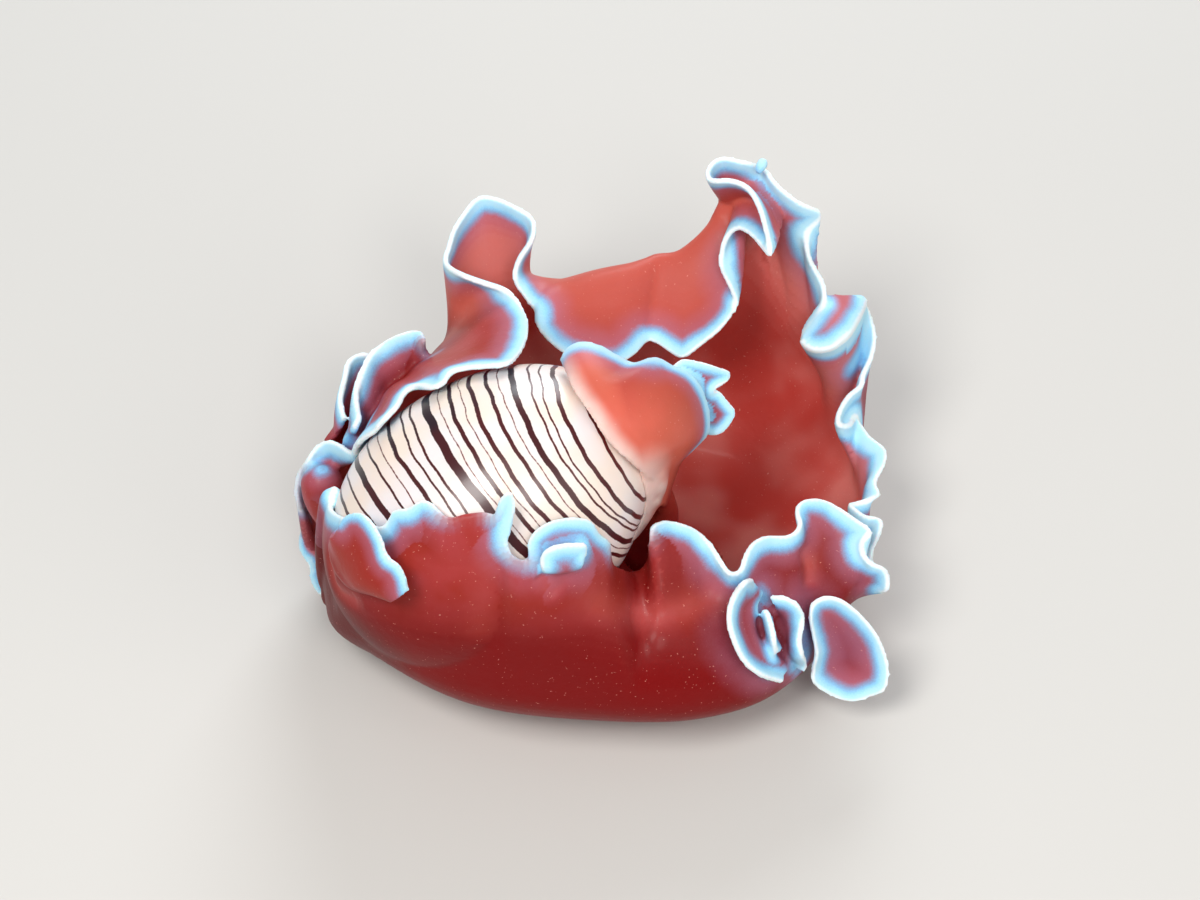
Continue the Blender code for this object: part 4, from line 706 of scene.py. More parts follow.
def edge_with_marks(points, count):
    """Even steps along an edge; the fourth value counts its points."""
    marked = np.column_stack((points, np.arange(len(points), dtype=float)))
    pieces = spans(marked)
    for k, piece in enumerate(pieces):
        piece[:, 3] = k + np.arange(SPAN_STEPS) / SPAN_STEPS
    return even_steps(np.vstack(pieces + [marked[-1:]]), count)


def smooth_open(values, rounds):
    values = values.copy()
    for _ in range(rounds):
        values[1:-1] = (values[:-2] + 2 * values[1:-1] + values[2:]) / 4
    return values


def smooth_round(values, width):
    """Running mean round a closed row, the width in columns."""
    reach = int(round(2 * width))
    offsets = np.arange(-reach, reach + 1)
    weights = np.exp(-0.5 * (offsets / (0.5 * width)) ** 2)
    total = sum(w * np.roll(values, -k, axis=0) for k, w in zip(offsets, weights))
    return total / weights.sum()


def shoulder_at(azimuths):
    """Shoulder x, y, z and lean at each azimuth, smooth and periodic."""
    table = np.array(SHOULDER, float)
    turn = (360, 0, 0, 0, 0)
    table = np.vstack((table[-2:] - turn, table, table[:2] + turn))
    marks, values = table[:, 0], table[:, 1:]
    slopes = np.gradient(values, marks, axis=0)
    wrapped = np.mod(azimuths, 360.0)
    spot = np.clip(np.searchsorted(marks, wrapped) - 1, 0, len(marks) - 2)
    width = (marks[spot + 1] - marks[spot])[:, None]
    t = (wrapped - marks[spot])[:, None] / width
    return ((2 * t ** 3 - 3 * t ** 2 + 1) * values[spot]
            + (t ** 3 - 2 * t ** 2 + t) * width * slopes[spot]
            + (3 * t ** 2 - 2 * t ** 3) * values[spot + 1]
            + (t ** 3 - t ** 2) * width * slopes[spot + 1])


def margin_curve():
    """The whole frilled edge with root azimuths and leans, and fold starts."""
    corners, roots, leans, starts = [], [], [], {}
    for name, first, last, lean, kind, points in FOLDS:
        starts[name] = len(corners) * SPAN_STEPS
        count = len(points)
        corners.extend(placed(kind, points))
        roots.extend(first + (last - first) * (np.arange(count) + 0.5) / count)
        leans.extend([lean] * count)
    extra = np.column_stack((roots, leans))
    after = np.roll(extra, -1, axis=0)
    after[-1, 0] += 360
    share = np.arange(SPAN_STEPS)[:, None] / SPAN_STEPS
    rows = [np.column_stack((piece, here + (there - here) * share))
            for piece, here, there in zip(spans(np.array(corners), True), extra, after)]
    return np.vstack(rows), starts


def foot_columns():
    """Equal steps along the margin inside each run, with azimuth and lean."""
    rows, starts = margin_curve()
    turn = np.array((0, 0, 0, 360.0, 0))
    closed = np.vstack((rows, rows[:1] + turn))
    order = [starts[name] for name in RUN_STARTS] + [len(rows)]
    pieces = []
    for begin, end in zip(order, order[1:]):
        run = closed[begin:end + 1]
        steps = int(round(distances(run)[-1] / MARGIN_STEP))
        pieces.append(even_steps(run, max(4, steps + 1))[:-1])
    columns = np.vstack(pieces)
    count = len(columns)
    tripled = np.vstack((columns - turn, columns, columns + turn))
    tripled[:, 3:] = smooth_open(tripled[:, 3:], 6)
    return tripled[count:2 * count]


def bezier(p0, p1, p2, p3, t):
    s = 1 - t
    return s ** 3 * p0 + 3 * s ** 2 * t * p1 + 3 * s * t ** 2 * p2 + t ** 3 * p3


def foot_grid():
    """Middle surface of the turned-up foot, its thickness and azimuths."""
    columns = foot_columns()
    columns[:, :3] = smooth_round(columns[:, :3], MARGIN_ROUNDING / MARGIN_STEP)
    margin, azimuth, lean = columns[:, :3], columns[:, 3], columns[:, 4]
    angle = np.radians(azimuth)
    across, along, level = np.cos(angle), np.sin(angle), 0 * angle
    outward = unit(np.column_stack((across * SOLE_WIDTH, along * SOLE_LENGTH, level)))
    base = np.column_stack((across * SOLE_LENGTH / 2, along * SOLE_WIDTH / 2,
                            level + WALL_THICKNESS_BASE / 2 + GAP)) + outward * GAP
    table = shoulder_at(azimuth)
    shoulder = table[:, :3]
    inward = -unit(shoulder * INWARD_WEIGHTS)
    tilt, edge = np.radians(table[:, 3:4]), np.radians(lean)[:, None]
    rise = np.cos(tilt) * UP + np.sin(tilt) * inward
    finish = np.cos(edge) * UP + np.sin(edge) * inward
    start = unit(outward + BASE_SLOPE * UP)
    reach = np.linalg.norm(shoulder - base, axis=1, keepdims=True) * LOWER_REACH
    grid = [bezier(base, base + start * reach, shoulder - rise * reach, shoulder, t)
            for t in np.arange(LOWER_ROWS) / LOWER_ROWS]
    low, high = np.radians(NEAR_FRILLS)
    near = (angle % (2 * pi) > low) & (angle % (2 * pi) < high)
    near = smooth_round(near[:, None].astype(float), NEAR_FRILL_FADE / MARGIN_STEP)
    growth = FRILL_GROWTH + NEAR_FRILL_GROWTH * near
    course = smooth_round(margin, FRILL_WIDTH / MARGIN_STEP)
    finish = smooth_round(finish, FRILL_WIDTH / MARGIN_STEP)
    reach = np.linalg.norm(course - shoulder, axis=1, keepdims=True)
    crest = np.array(CREST)
    lift, over = [np.interp(azimuth % 360, crest[:, 0], crest[:, k])[:, None] * reach
                  for k in (1, 2)]
    for t in np.linspace(0, 1, UPPER_ROWS + 1):
        grid.append(bezier(shoulder, shoulder + rise * lift, course - finish * over, course, t)
                    + (margin - course) * t ** growth)
    grid = np.stack(grid, axis=1)
    fall = np.linspace(0, 1, grid.shape[1]) ** THINNING
    thickness = WALL_THICKNESS_BASE + fall * (WALL_THICKNESS_MARGIN - WALL_THICKNESS_BASE)
    return clear_of_shell(grid, thickness / 2 + SHELL_CLEARANCE), thickness, azimuth


def grid_normals(grid, closed=False):
    """Unit normals of a grid of points, columns by rows."""
    if closed:
        along = np.roll(grid, -1, axis=0) - np.roll(grid, 1, axis=0)
    else:
        along = np.gradient(grid, axis=0)
    return unit(np.cross(along, np.gradient(grid, axis=1)))


def grid_triangles(columns, rows, closed):
    """Triangles of a grid, all split along the same diagonal."""
    i, j = np.meshgrid(np.arange(columns if closed else columns - 1), np.arange(rows - 1),
                       indexing="ij")
    a = (i * rows + j).ravel()
    b = ((i + 1) % columns * rows + j).ravel()
    return np.stack((a, b, b + 1, a, b + 1, a + 1), axis=1).reshape(-1, 3)


def closed_sheet(middle, thickness, closed=False):
    """Points and triangles of a closed sheet of the given thickness."""
    columns, rows = middle.shape[:2]
    half = np.broadcast_to(thickness, (columns, rows))[..., None] / 2
    normals = grid_normals(middle, closed)
    count = columns * rows
    front = grid_triangles(columns, rows, closed)
    faces = [front, front[:, ::-1] + count]
    at = np.arange(count).reshape(columns, rows)
    loops = [at[:, 0], at[::-1, -1]]
    if not closed:
        loops = [np.concatenate((at[:, 0], at[-1, 1:], at[-2::-1, -1], at[0, -2:0:-1]))]
    for a in loops:
        b = np.roll(a, -1)
        faces.append(np.column_stack((b, a, a + count)))
        faces.append(np.column_stack((b, a + count, b + count)))
    points = np.vstack([(middle + normals * side * half).reshape(-1, 3) for side in (1, -1)])
    return points, np.vstack(faces)


def tube(rings, first=None, last=None):
    """Closed solid from rings of equal count, each end drawn to a point."""
    rings = np.asarray(rings)
    rows, count = rings.shape[:2]
    ends = (rings[0].mean(0) if first is None else first,
            rings[-1].mean(0) if last is None else last)
    start = np.arange(count) * rows
    end = start + rows - 1
    tip = np.full(count, count * rows)
    caps = (np.column_stack((tip, np.roll(start, -1), start)),
            np.column_stack((tip + 1, end, np.roll(end, -1))))
    points = np.vstack((rings.swapaxes(0, 1).reshape(-1, 3), *ends))
    return points, np.vstack((grid_triangles(count, rows, True), *caps))


def round_bar(points, steps=40, sides=28):
    """A bar with round ends; its points carry a radius."""
    path = curve_through(points, steps)
    place, radius = path[:, :3], path[:, 3]
    along = distances(place)
    for away in (along, along[-1] - along):
        short = np.clip(away / path[:, 3], 0.0, 1.0)
        radius = radius * np.sqrt(1 - (1 - short) ** 2)
    forward = unit(np.gradient(place, axis=0))
    side = unit(np.cross(forward, (0.3, 1.0, 0.1)))
    other = np.cross(forward, side)
    turn = np.linspace(0, 2 * pi, sides, endpoint=False)[:, None]
    rings = [p + r * (np.cos(turn) * s + np.sin(turn) * o)
             for p, r, s, o in zip(place, radius, side, other)]
    return tube(rings[1:-1], place[0], place[-1])


def oval(centre, half_size, count=72):
    """A level ring of points round a centre."""
    turn = np.linspace(0, 2 * pi, count, endpoint=False)
    return np.column_stack((centre[0] + half_size[0] * np.cos(turn),
                            centre[1] + half_size[1] * np.sin(turn), centre[2] + 0 * turn))


def ball(centre, half_size, bands=24, turns=40):
    """Points and triangles of an ellipsoid."""
    rings = [oval((0, 0, cos(polar)), (sin(polar), sin(polar)), turns)
             for polar in np.linspace(0, pi, bands + 1)[1:-1]]
    ways, faces = tube(rings, UP, -UP)
    return centre + ways * half_size, faces[:, ::-1]


def ruled(first, second, rows, start=0.0, bulge=0.0):
    """Points in rows from one edge to another, or from a little behind it."""
    t = np.linspace(start, 1, rows)[None, :, None]
    return (first[:, None] * (1 - t) + second[:, None] * t
            + np.asarray(bulge) * 4 * t * (1 - t))


def sole_solid():
    """The sole, flat below and dished above so that it runs into the wall."""
    return tube([oval((0, 0, height), (SOLE_LENGTH / 2 + extra, SOLE_WIDTH / 2 + extra), 180)
                 for height, extra in SOLE_RINGS])


def body_solid():
    """The body between the sole and the underside of the shell."""
    foot = oval(BODY_ROOT_CENTRE, BODY_ROOT_HALF_SIZE)
    rings = []
    for spread in np.radians(BODY_SPREADS):
        ways = oval((0, 0, -cos(spread)), (sin(spread), sin(spread)))
        level = shell_level(SHELL_CENTRE + ways, -BODY_SUNK)
        rings.append(SHELL_CENTRE + ways / np.sqrt(level)[:, None])
    rim = rings[-1]
    for t in BODY_SHARES:
        bend = 1 - BODY_WAIST * sin(pi * t)
        ring = rim + (foot - rim) * t
        centre = ring.mean(0)
        rings.append(centre + (ring - centre) * (bend, bend, 1.0))
    return tube(rings)


def wall_place(grid, azimuths, azimuth, level):
    """A point in the middle of the foot's wall."""
    count, rows = grid.shape[:2]
    start = azimuths[0]
    spot = np.interp((azimuth - start) % 360 + start,
                     np.append(azimuths, start + 360), np.arange(count + 1))
    i, j = int(spot), min(int(level * (rows - 1)), rows - 2)
    u, v = spot - i, level * (rows - 1) - j
    column = grid[i % count] * (1 - u) + grid[(i + 1) % count] * u
    return column[j] * (1 - v) + column[j + 1] * v


def seen_on_wall(tree, column, row):
    """Where a sight line meets the wall, or passes nearest to it."""
    line = Vector(sight_line(column, row))
    place, normal, _, _ = tree.ray_cast(Vector(VIEW_POINT), line)
    if place is None:
        steps = np.linspace(SIGHT_NEAR, SIGHT_FAR, WALL_SIGHT_STEPS)
        spots = [Vector(VIEW_POINT) + line * step for step in steps]
        place = min(spots, key=lambda spot: tree.find_nearest(spot)[3])
        normal = tree.find_nearest(place)[1]
    return line, place, normal


def point_before_wall(tree, column, row, lift):
    """A point of the sight line that stands lift mm off the wall."""
    line, place, normal = seen_on_wall(tree, column, row)
    facing = max(-line.dot(normal), 0.4)
    return np.array(place - line * lift / facing)


def off_the_wall(points, tree, lift, reach=5.0):
    """Move points to at least lift off the outer face of the wall."""
    flat = points.reshape(-1, 3).copy()
    for k, point in enumerate(flat):
        near, normal, _, distance = tree.find_nearest(Vector(point))
        side = (Vector(point) - near).dot(normal)
        if distance < reach and side < lift:
            flat[k] = point + np.array(normal) * (lift - side)
    return flat.reshape(points.shape)


def sheet_solids(grid, azimuths, tree):
    """The leaves, flaps and frill on the outer face of the foot."""
    lift = (WALL_THICKNESS_BASE + SHEET_THICKNESS) / 2 + GAP
    grow = np.clip(np.linspace(0, 2.2, SHEET_ROWS), 0, 1)[None, :, None]
    thickness = np.linspace(SHEET_ROOT_THICKNESS, SHEET_THICKNESS - 0.1, SHEET_ROWS)
    solids, edges = [], []
    for _, kind, farther, bulge, edge, way, root in SHEETS:
        if kind == ON_WALL:
            points = np.array([point_before_wall(tree, *point) for point in edge])
        else:
            points = placed(kind, edge)
        count = max(6, int(round(distances(points)[-1] / SHEET_STEP)))
        marked = edge_with_marks(points, count)
        share = marked[:, 3] / (len(points) - 1)
        marks = np.linspace(0, 1, len(root))
        places = zip(*[np.interp(share, marks, column) for column in zip(*root)])
        if way == SEEN:
            rooted = [seen_on_wall(tree, a, b)[1] for a, b in places]
        else:
            rooted = [wall_place(grid, azimuths, a, b) for a, b in places]
        middle = ruled(np.array(rooted), marked[:, :3], SHEET_ROWS, 0.0, bulge)
        for _ in range(3):
            moved = off_the_wall(middle, tree, lift + farther)
            middle = middle + (moved - middle) * grow
        solids.append(closed_sheet(middle, thickness))
        edges.append(middle[:, -1])
    return solids, edges


def thickening(thin, full, share, rows):
    """Thickness of each row, from thin to full at a share of the rows."""
    return np.interp(np.linspace(0, 1, rows), (0, share), (thin, full))


def mantle_solid():
    """The lobe over the spire, and its edges on the shell and in the water."""
    columns, rows = MANTLE_GRID
    near = curve_through(placed(ON_SHELL, MANTLE_NEAR_EDGE), columns)
    free = curve_through(placed(AT_HEIGHT, MANTLE_FREE_EDGE), columns)
    swell = np.sin(np.linspace(0, pi, columns))[:, None, None]
    middle = ruled(near, free, rows, 0.0, VIEW_BACK * MANTLE_RISE * swell)
    thickness = thickening(*MANTLE_THICKNESS, rows)
    middle = clear_of_shell(middle, thickness / 2)
    return closed_sheet(middle, thickness), near, free


def swept_hem(columns, rows):
    """The hem's middle surface: its edge turned back round the shell."""
    near = curve_through(placed(ON_SHELL, MANTLE_HEM), columns)
    offset = near - SHELL_CENTRE
    along = (offset @ SHELL_AXIS)[:, None] * SHELL_AXIS
    side = offset - along
    other = np.cross(SHELL_AXIS, side)
    return np.stack([SHELL_CENTRE + along + cos(angle) * side + sin(angle) * other
                     for angle in np.linspace(*HEM_SWEEP, rows)], axis=1)


def hem_solid():
    columns, rows = HEM_GRID
    middle = swept_hem(columns, rows)
    taper = np.interp(np.linspace(0, 1, columns), *HEM_TAPER)
    thickness = thickening(*HEM_THICKNESS, rows) * taper[:, None]
    return closed_sheet(clear_of_shell(middle, thickness / 2), thickness)


def thin_leaf(edge, root, count, start, bulge):
    """A small sheet from image places and heights, and its edge."""
    edge = curve_through(placed(AT_HEIGHT, edge), count)
    root = curve_through(placed(AT_HEIGHT, root), count)
    return closed_sheet(ruled(root, edge, 24, start, bulge), LEAF_THICKNESS), edge


def finger_solids():
    """Blunt folds at the left side's front end and on the rear lobe."""
    solids, tips = [], []
    for points in FINGERS:
        path = [np.append(point_at_height(*point[:3]), point[3]) for point in points]
        solids.append(round_bar(path))
        tips.append(path[-1][:3])
    return solids, tips


def cup_solids():
    """The cup beside the tail and its stalk, and the cup's rim."""
    loop = np.vstack(spans(placed(AT_HEIGHT, CUP_RIM), True))
    rim = even_steps(np.vstack((loop, loop[:1])), CUP_COLUMNS + 1)[:-1]
    back = unit(CUP_BACK)
    centre = rim.mean(axis=0)
    floor = centre + back * CUP_DEPTH
    half = back * CUP_THICKNESS / 2
    bowl = [centre + (rim - centre) * s + back * CUP_DEPTH * (1 - s ** 2)
            for s in np.arange(1, CUP_ROWS + 1) / CUP_ROWS]
    rings = [ring - half for ring in bowl] + [ring + half for ring in bowl[::-1]]
    stalk = [np.append(floor + back * behind, radius) for behind, radius in CUP_STALK]
    return [tube(rings, floor - half, floor + half), round_bar(stalk, 30)], rim


def head_solids():
    root = even_steps(np.array(LOBE_ROOT), 24)
    root = root + (HEAD_CENTRE - root) * LOBE_SUNK
    edge = edge_with_marks(LOBE_EDGE, 24)[:, :3]
    return [ball(HEAD_CENTRE, HEAD_HALF_SIZE), round_bar(NECK, 30, 24),
            closed_sheet(ruled(root, edge, 14), SHEET_THICKNESS)]


def mesh_object(name, verts, faces, smooth=False):
    mesh = bpy.data.meshes.new(name)
    verts = np.asarray(verts, np.float32) * MM
    faces = np.asarray(faces, np.int32)
    mesh.vertices.add(len(verts))
    mesh.vertices.foreach_set("co", verts.ravel())
    mesh.loops.add(faces.size)
    mesh.loops.foreach_set("vertex_index", faces.ravel())
    mesh.polygons.add(len(faces))
    mesh.polygons.foreach_set("loop_start",
                              np.arange(0, faces.size, faces.shape[1], dtype=np.int32))
    mesh.polygons.foreach_set("use_smooth", np.full(len(faces), smooth))
    mesh.update(calc_edges=True)
    mesh.validate()
    made = bpy.data.objects.new(name, mesh)
    bpy.context.scene.collection.objects.link(made)
    return made


def join_solids(solids):
    verts, faces, start = [], [], 0
    for points, triangles in solids:
        verts.append(points)
        faces.append(triangles + start)
        start += len(points)
    return np.vstack(verts), np.vstack(faces)


def vertex_places(item):
    places = np.empty(len(item.data.vertices) * 3, np.float32)
    item.data.vertices.foreach_get("co", places)
    return places.reshape(-1, 3) / MM


def move_vertices(item, places):
    item.data.vertices.foreach_set("co", (places * MM).ravel())
    item.data.update()


def give_attribute(item, name, values):
    layer = item.data.attributes.new(name, "FLOAT", "POINT")
    layer.data.foreach_set("value", np.asarray(values, np.float32).ravel())


def nearest(samples, places):
    """Index of and distance to the nearest sample of each place."""
    tree = kdtree.KDTree(len(samples))
    for k, sample in enumerate(samples):
        tree.insert(sample, k)
    tree.balance()
    where, away = zip(*[tree.find(place)[1:] for place in places])
    return np.array(where), np.array(away)


def skin_mesh(solids):
    """One even skin round all the solids."""
    skin = mesh_object("skin", *join_solids(solids))
    remesh = skin.modifiers.new("joined", "REMESH")
    remesh.mode = "VOXEL"
    remesh.voxel_size = CELL * MM
    remesh.use_smooth_shade = True
    even = skin.modifiers.new("even", "SMOOTH")
    even.factor = SMOOTH_SHARE
    even.iterations = SMOOTH_ROUNDS
    graph = bpy.context.evaluated_depsgraph_get()
    final = bpy.data.meshes.new_from_object(skin.evaluated_get(graph))
    skin.modifiers.clear()
    old = skin.data
    skin.data = final
    bpy.data.meshes.remove(old)
    return skin


def build_skin():
    """One skin over every part of flesh, with its colour guides."""
    grid, thickness, azimuth = foot_grid()
    triangles = grid_triangles(*grid.shape[:2], True)
    tree = BVHTree.FromPolygons(grid.reshape(-1, 3).tolist(), triangles.tolist())
    sheets, edges = sheet_solids(grid, azimuth, tree)
    mantle, near, free = mantle_solid()
    ear, ear_edge = thin_leaf(MANTLE_EAR, MANTLE_EAR_ROOT, 90, start=-0.15, bulge=0.0)
    leaf, leaf_edge = thin_leaf(SMALL_LEAF_EDGE, SMALL_LEAF_ROOT, 60, start=-0.1,
                                bulge=VIEW_BACK * 0.5)
    hem, trunk, hood = hem_solid(), round_bar(TRUNK), round_bar(HOOD)
    fingers, tips = finger_solids()
    tips.append(HOOD[-1][:3] + HOOD_TIP_RISE * UP)
    cup, rim = cup_solids()
    skin = skin_mesh([closed_sheet(grid, thickness, True), mantle, ear, leaf, hem, trunk, hood,
                      sole_solid(), body_solid()] + sheets + fingers + cup + head_solids())
    press_creases(skin, tree)
    relax_floor(skin)
    places = vertex_places(skin)
    margins = foot_margins(grid, azimuth, edges) + [
        (rim, 1.0, CUP_RIM_STRETCH), (np.array(tips), 1.0, 1.0),
        (leaf_edge, 1.0, LEAF_RIM_STRETCH), (ear_edge, 1.0, EAR_RIM_STRETCH),
        (free, np.interp(np.linspace(0, 1, len(free)), *MANTLE_RIM), 1.0)]
    rim_guides(skin, places, margins, np.vstack((hem[0][::2], trunk[0])))
    others = (mantle[0][::3], hem[0][::2], trunk[0])
    colour_guides(skin, places, grid, others, hood[0])
    cup_away = np.linalg.norm(places - rim.mean(0), axis=1)
    give_attribute(skin, "cup", ramp(cup_away, *NEAR_CUP))
    hem_start = nearest(swept_hem(60, 2)[:, 0], places)[1]
    give_attribute(skin, "veil", np.minimum(nearest(near, places)[1], hem_start * HEM_VEIL))
    return skin


def foot_margins(grid, azimuth, edges):
    """Edges of the foot that carry the rim, and its strength and stretch."""
    turn = np.mod(azimuth, 360)
    first, last, narrow = NARROW_RIM
    least, parts = LEAF_RIM_START
    strengths = [1.0] * len(edges)
    strengths[0] = np.clip(np.linspace(0, parts, len(edges[0])), least, 1)
    margins = [(grid[:, -1], margin_strength(turn),
                np.where((turn > first) & (turn < last), narrow, 1.0))]
    return margins + [(edge, strength, RIM_STRETCH.get(sheet[0], 1.0))
                      for edge, strength, sheet in zip(edges, strengths, SHEETS)]


def rim_guides(skin, places, margins, bare):
    """How far off and how strong the rim is, fading out at the bare flesh."""
    power, stretch = [np.concatenate([np.broadcast_to(row[k], len(row[0])) for row in margins])
                      for k in (1, 2)]
    where, away = nearest(np.vstack([row[0] for row in margins]), places)
    off_hem = ramp(nearest(bare, places)[1], *OFF_HEM)
    give_attribute(skin, "rim", away * stretch[where])
    give_attribute(skin, "rim_strength", power[where] * off_hem)


def colour_guides(skin, places, grid, others, hood):
    """Guides from the side, the height and the part of the foot's wall."""
    flat = grid[::2, ::2].reshape(-1, 3)
    where, away = nearest(np.vstack((flat, *others)), places)
    on_foot = where < len(flat)
    where = np.where(on_foot, where, 0)
    facing = grid_normals(grid, True)[::2, ::2].reshape(-1, 3)[where]
    side = ((places - flat[where]) * facing).sum(-1) * on_foot
    level = np.tile(np.linspace(0, 1, grid.shape[1])[::2], len(grid[::2]))[where]
    across, along, height = places.T
    off_hood = ramp(nearest(hood, places)[1], *OFF_HOOD)
    outer = ramp(side, *OUTER_FACE)
    give_attribute(skin, "mantle", ~on_foot)
    give_attribute(skin, "level", np.where(on_foot, level, 1.0))
    give_attribute(skin, "inner", ramp(side, *INNER_FACE) * off_hood
                   * np.maximum(ramp(along, *FAR_SIDE), NEAR_SIDE_INNER))
    # Painted shade: the outer wall darker red towards the bottom, near the wall, less on the hood
    give_attribute(skin, "low_shade", outer * ramp(height, *LOW_SHADE_HEIGHT) * ramp(away, *NEAR_WALL)
                   * (HOOD_LOW_SHADE + (1 - HOOD_LOW_SHADE) * off_hood))
    # Painted light: the top of the far roll lighter, as lit from above
    give_attribute(skin, "far_roll_light", outer * ramp(along, *FAR_ROLL_LIGHT[0])
                   * ramp(height, *FAR_ROLL_LIGHT[1]))
    # Painted shade low at the front of the near side, between the folds
    give_attribute(skin, "front_fold_shade", outer * ramp(across, *FRONT_FOLD_SHADE[0])
                   * ramp(height, *FRONT_FOLD_SHADE[1]) * ramp(along, *FRONT_FOLD_SHADE[2]))


def relax_floor(skin):
    """Smooth the skin where the bowl's floor runs up into the wall."""
    places = vertex_places(skin)
    edges = np.empty(len(skin.data.edges) * 2, np.int32)
    skin.data.edges.foreach_get("vertices", edges)
    edges = edges.reshape(-1, 2)
    reach = np.hypot(places[:, 0] / (SOLE_LENGTH / 2), places[:, 1] / (SOLE_WIDTH / 2))
    height = places[:, 2]
    weight = (ramp(reach, *FLOOR_REACH) * ramp(height, *FLOOR_LOW)
              * ramp(height, *FLOOR_HIGH))[:, None]
    edges = edges[weight[edges, 0].sum(1) > 0]
    ends, others = np.vstack((edges, edges[:, ::-1])).T
    total = len(places)
    count = np.maximum(np.bincount(ends, minlength=total), 1)
    for _ in range(FLOOR_ROUNDS):
        mean = np.column_stack([np.bincount(ends, places[others, axis], total) / count
                                for axis in range(3)])
        places = places + (mean - places) * weight * FLOOR_SHARE
    move_vertices(skin, places)


def press_creases(skin, tree):
    """Press the creases into the foot's outer face."""
    places = vertex_places(skin)
    moved = places.copy()
    normals = np.empty(places.size, np.float32)
    skin.data.vertex_normals.foreach_get("vector", normals)
    normals = normals.reshape(-1, 3)
    for depth, width, points in CREASES:
        fine = curve_through([seen_on_wall(tree, *point)[1] for point in points], CREASE_STEPS)
        outward = np.array([tree.find_nearest(Vector(place))[1] for place in fine])
        where, away = nearest(fine, places)
        facing = (normals * outward[where]).sum(-1)
        ends = np.minimum(where, len(fine) - 1 - where) / CREASE_FADE
        press = depth * np.exp(-(away / width) ** 2)
        press = press * np.clip(ends, 0, 1) * np.clip(facing * 2, 0, 1)
        moved -= outward[where] * press[:, None]
    move_vertices(skin, moved)


def margin_strength(turn):
    """How strong the rim is drawn at each azimuth of the foot's edge."""
    strength = np.ones(len(turn))
    for first, last in BARE_RIM:
        strength[(turn > first) & (turn < last)] = 0.0
    first, last, faint = FAINT_RIM
    strength[(turn > first) & (turn < last)] = faint
    return smooth_round(strength[:, None], RIM_FADE / MARGIN_STEP)[:, 0]


def line_places(turn):
    """Polar angle of each line at each turn, in degrees, with wobble."""
    marks = LINE_ENDS[:1] + LINE_TURNS + LINE_ENDS[1:]
    jog = LINE_JOG / (1 + np.exp(-(turn - GROWTH_LINE_TURN) * JOG_SHARPNESS))
    rows = []
    for k, (places, _, _) in enumerate(LINES):
        mean = sum(places) / len(places)
        base = smooth_open(np.interp(turn, marks, (mean,) + places + (mean,)),
                           LINE_ROUNDS)
        waves = [size * np.sin(np.radians(turn * rate + shift * k))
                 for size, rate, shift in LINE_WAVES]
        rows.append(base + jog + sum(waves))
    return np.array(rows)


def shell_points(polar, turn):
    """Points of the shell: polar 0 at the spire, turn from the lip."""
    lip = unit(LIP_TOWARDS - (LIP_TOWARDS @ SHELL_AXIS) * SHELL_AXIS)
    side = np.cross(SHELL_AXIS, lip)
    polar, turn = polar[:, None, None], turn[None, :, None]
    rear = polar < pi / 2
    growth = WHORL_GROWTH * np.sin(polar) ** 0.5 * (turn / (2 * pi) - 0.5)
    radius = SHELL_RADIUS * np.sin(polar) * (1 + growth)
    along = np.where(rear, SHELL_REAR_LENGTH, SHELL_FRONT_LENGTH) * np.cos(polar)
    sunk = rear * SPIRE_DEPTH * np.maximum(1 - (radius / SPIRE_RADIUS) ** 2, 0)
    around = np.cos(turn) * lip + np.sin(turn) * side
    return SHELL_CENTRE + (along - sunk) * SHELL_AXIS + radius * around


def build_shell():
    """The shell, fine enough to carry its lines as values at its points."""
    first, last = LINED_PART
    turn = np.linspace(0, 360, SHELL_COLUMNS + 1)[:-1]
    polar = np.radians(np.concatenate((np.linspace(0, first, POLE_ROWS)[1:-1],
                                       np.linspace(first, last, LINED_ROWS),
                                       np.linspace(last, 180, POLE_ROWS)[1:-1])))
    points = shell_points(polar, np.radians(turn))
    rows, columns = points.shape[:2]
    length = np.where(polar < pi / 2, SHELL_REAR_LENGTH, SHELL_FRONT_LENGTH)
    per_degree = radians(1) * np.hypot(length * np.sin(polar), SHELL_RADIUS * np.cos(polar))
    away = np.abs(np.degrees(polar)[:, None, None] - line_places(turn).T[None])
    edge = away * per_degree[:, None, None] - np.array([width for _, width, _ in LINES]) / 2
    i, k = np.meshgrid(np.arange(rows - 1), np.arange(columns), indexing="ij")
    a = (i * columns + k).ravel()
    b = (i * columns + (k + 1) % columns).ravel()
    quads = np.column_stack((a, a + columns, b + columns, b))
    shell = mesh_object("shell_fine", points.reshape(-1, 3), quads, True)
    give_attribute(shell, "edge", edge.min(-1))
    give_attribute(shell, "red", np.array([red for _, _, red in LINES])[edge.argmin(-1)])
    give_attribute(shell, "turn", np.tile(turn, (rows, 1)))
    # Painted shade low at the shell's rear end
    give_attribute(shell, "shade", SHELL_SHADE * ramp(points[..., 2], *SHELL_LOW)
                   * ramp(points[..., 0], *SHELL_REAR))
    return shell


def build_eyes():
    for name, (x, y) in EYE_PLACES:
        level = 1 - (x / HEAD_HALF_SIZE[0]) ** 2 - (y / HEAD_HALF_SIZE[1]) ** 2
        height = HEAD_HALF_SIZE[2] * level ** 0.5 + EYE_RADIUS + EYE_RISE
        solid = ball(HEAD_CENTRE + (x, y, height), EYE_RADIUS, 16, 24)
        yield name, mesh_object(name + "_fine", *solid, True)


def linear(colour):
    """A colour of the table as Blender's linear red, green, blue and alpha."""
    parts = [value / 255 for value in COLOURS[colour]]
    return tuple(part / 12.92 if part < 0.04045 else ((part + 0.055) / 1.055) ** 2.4
                 for part in parts) + (1.0,)


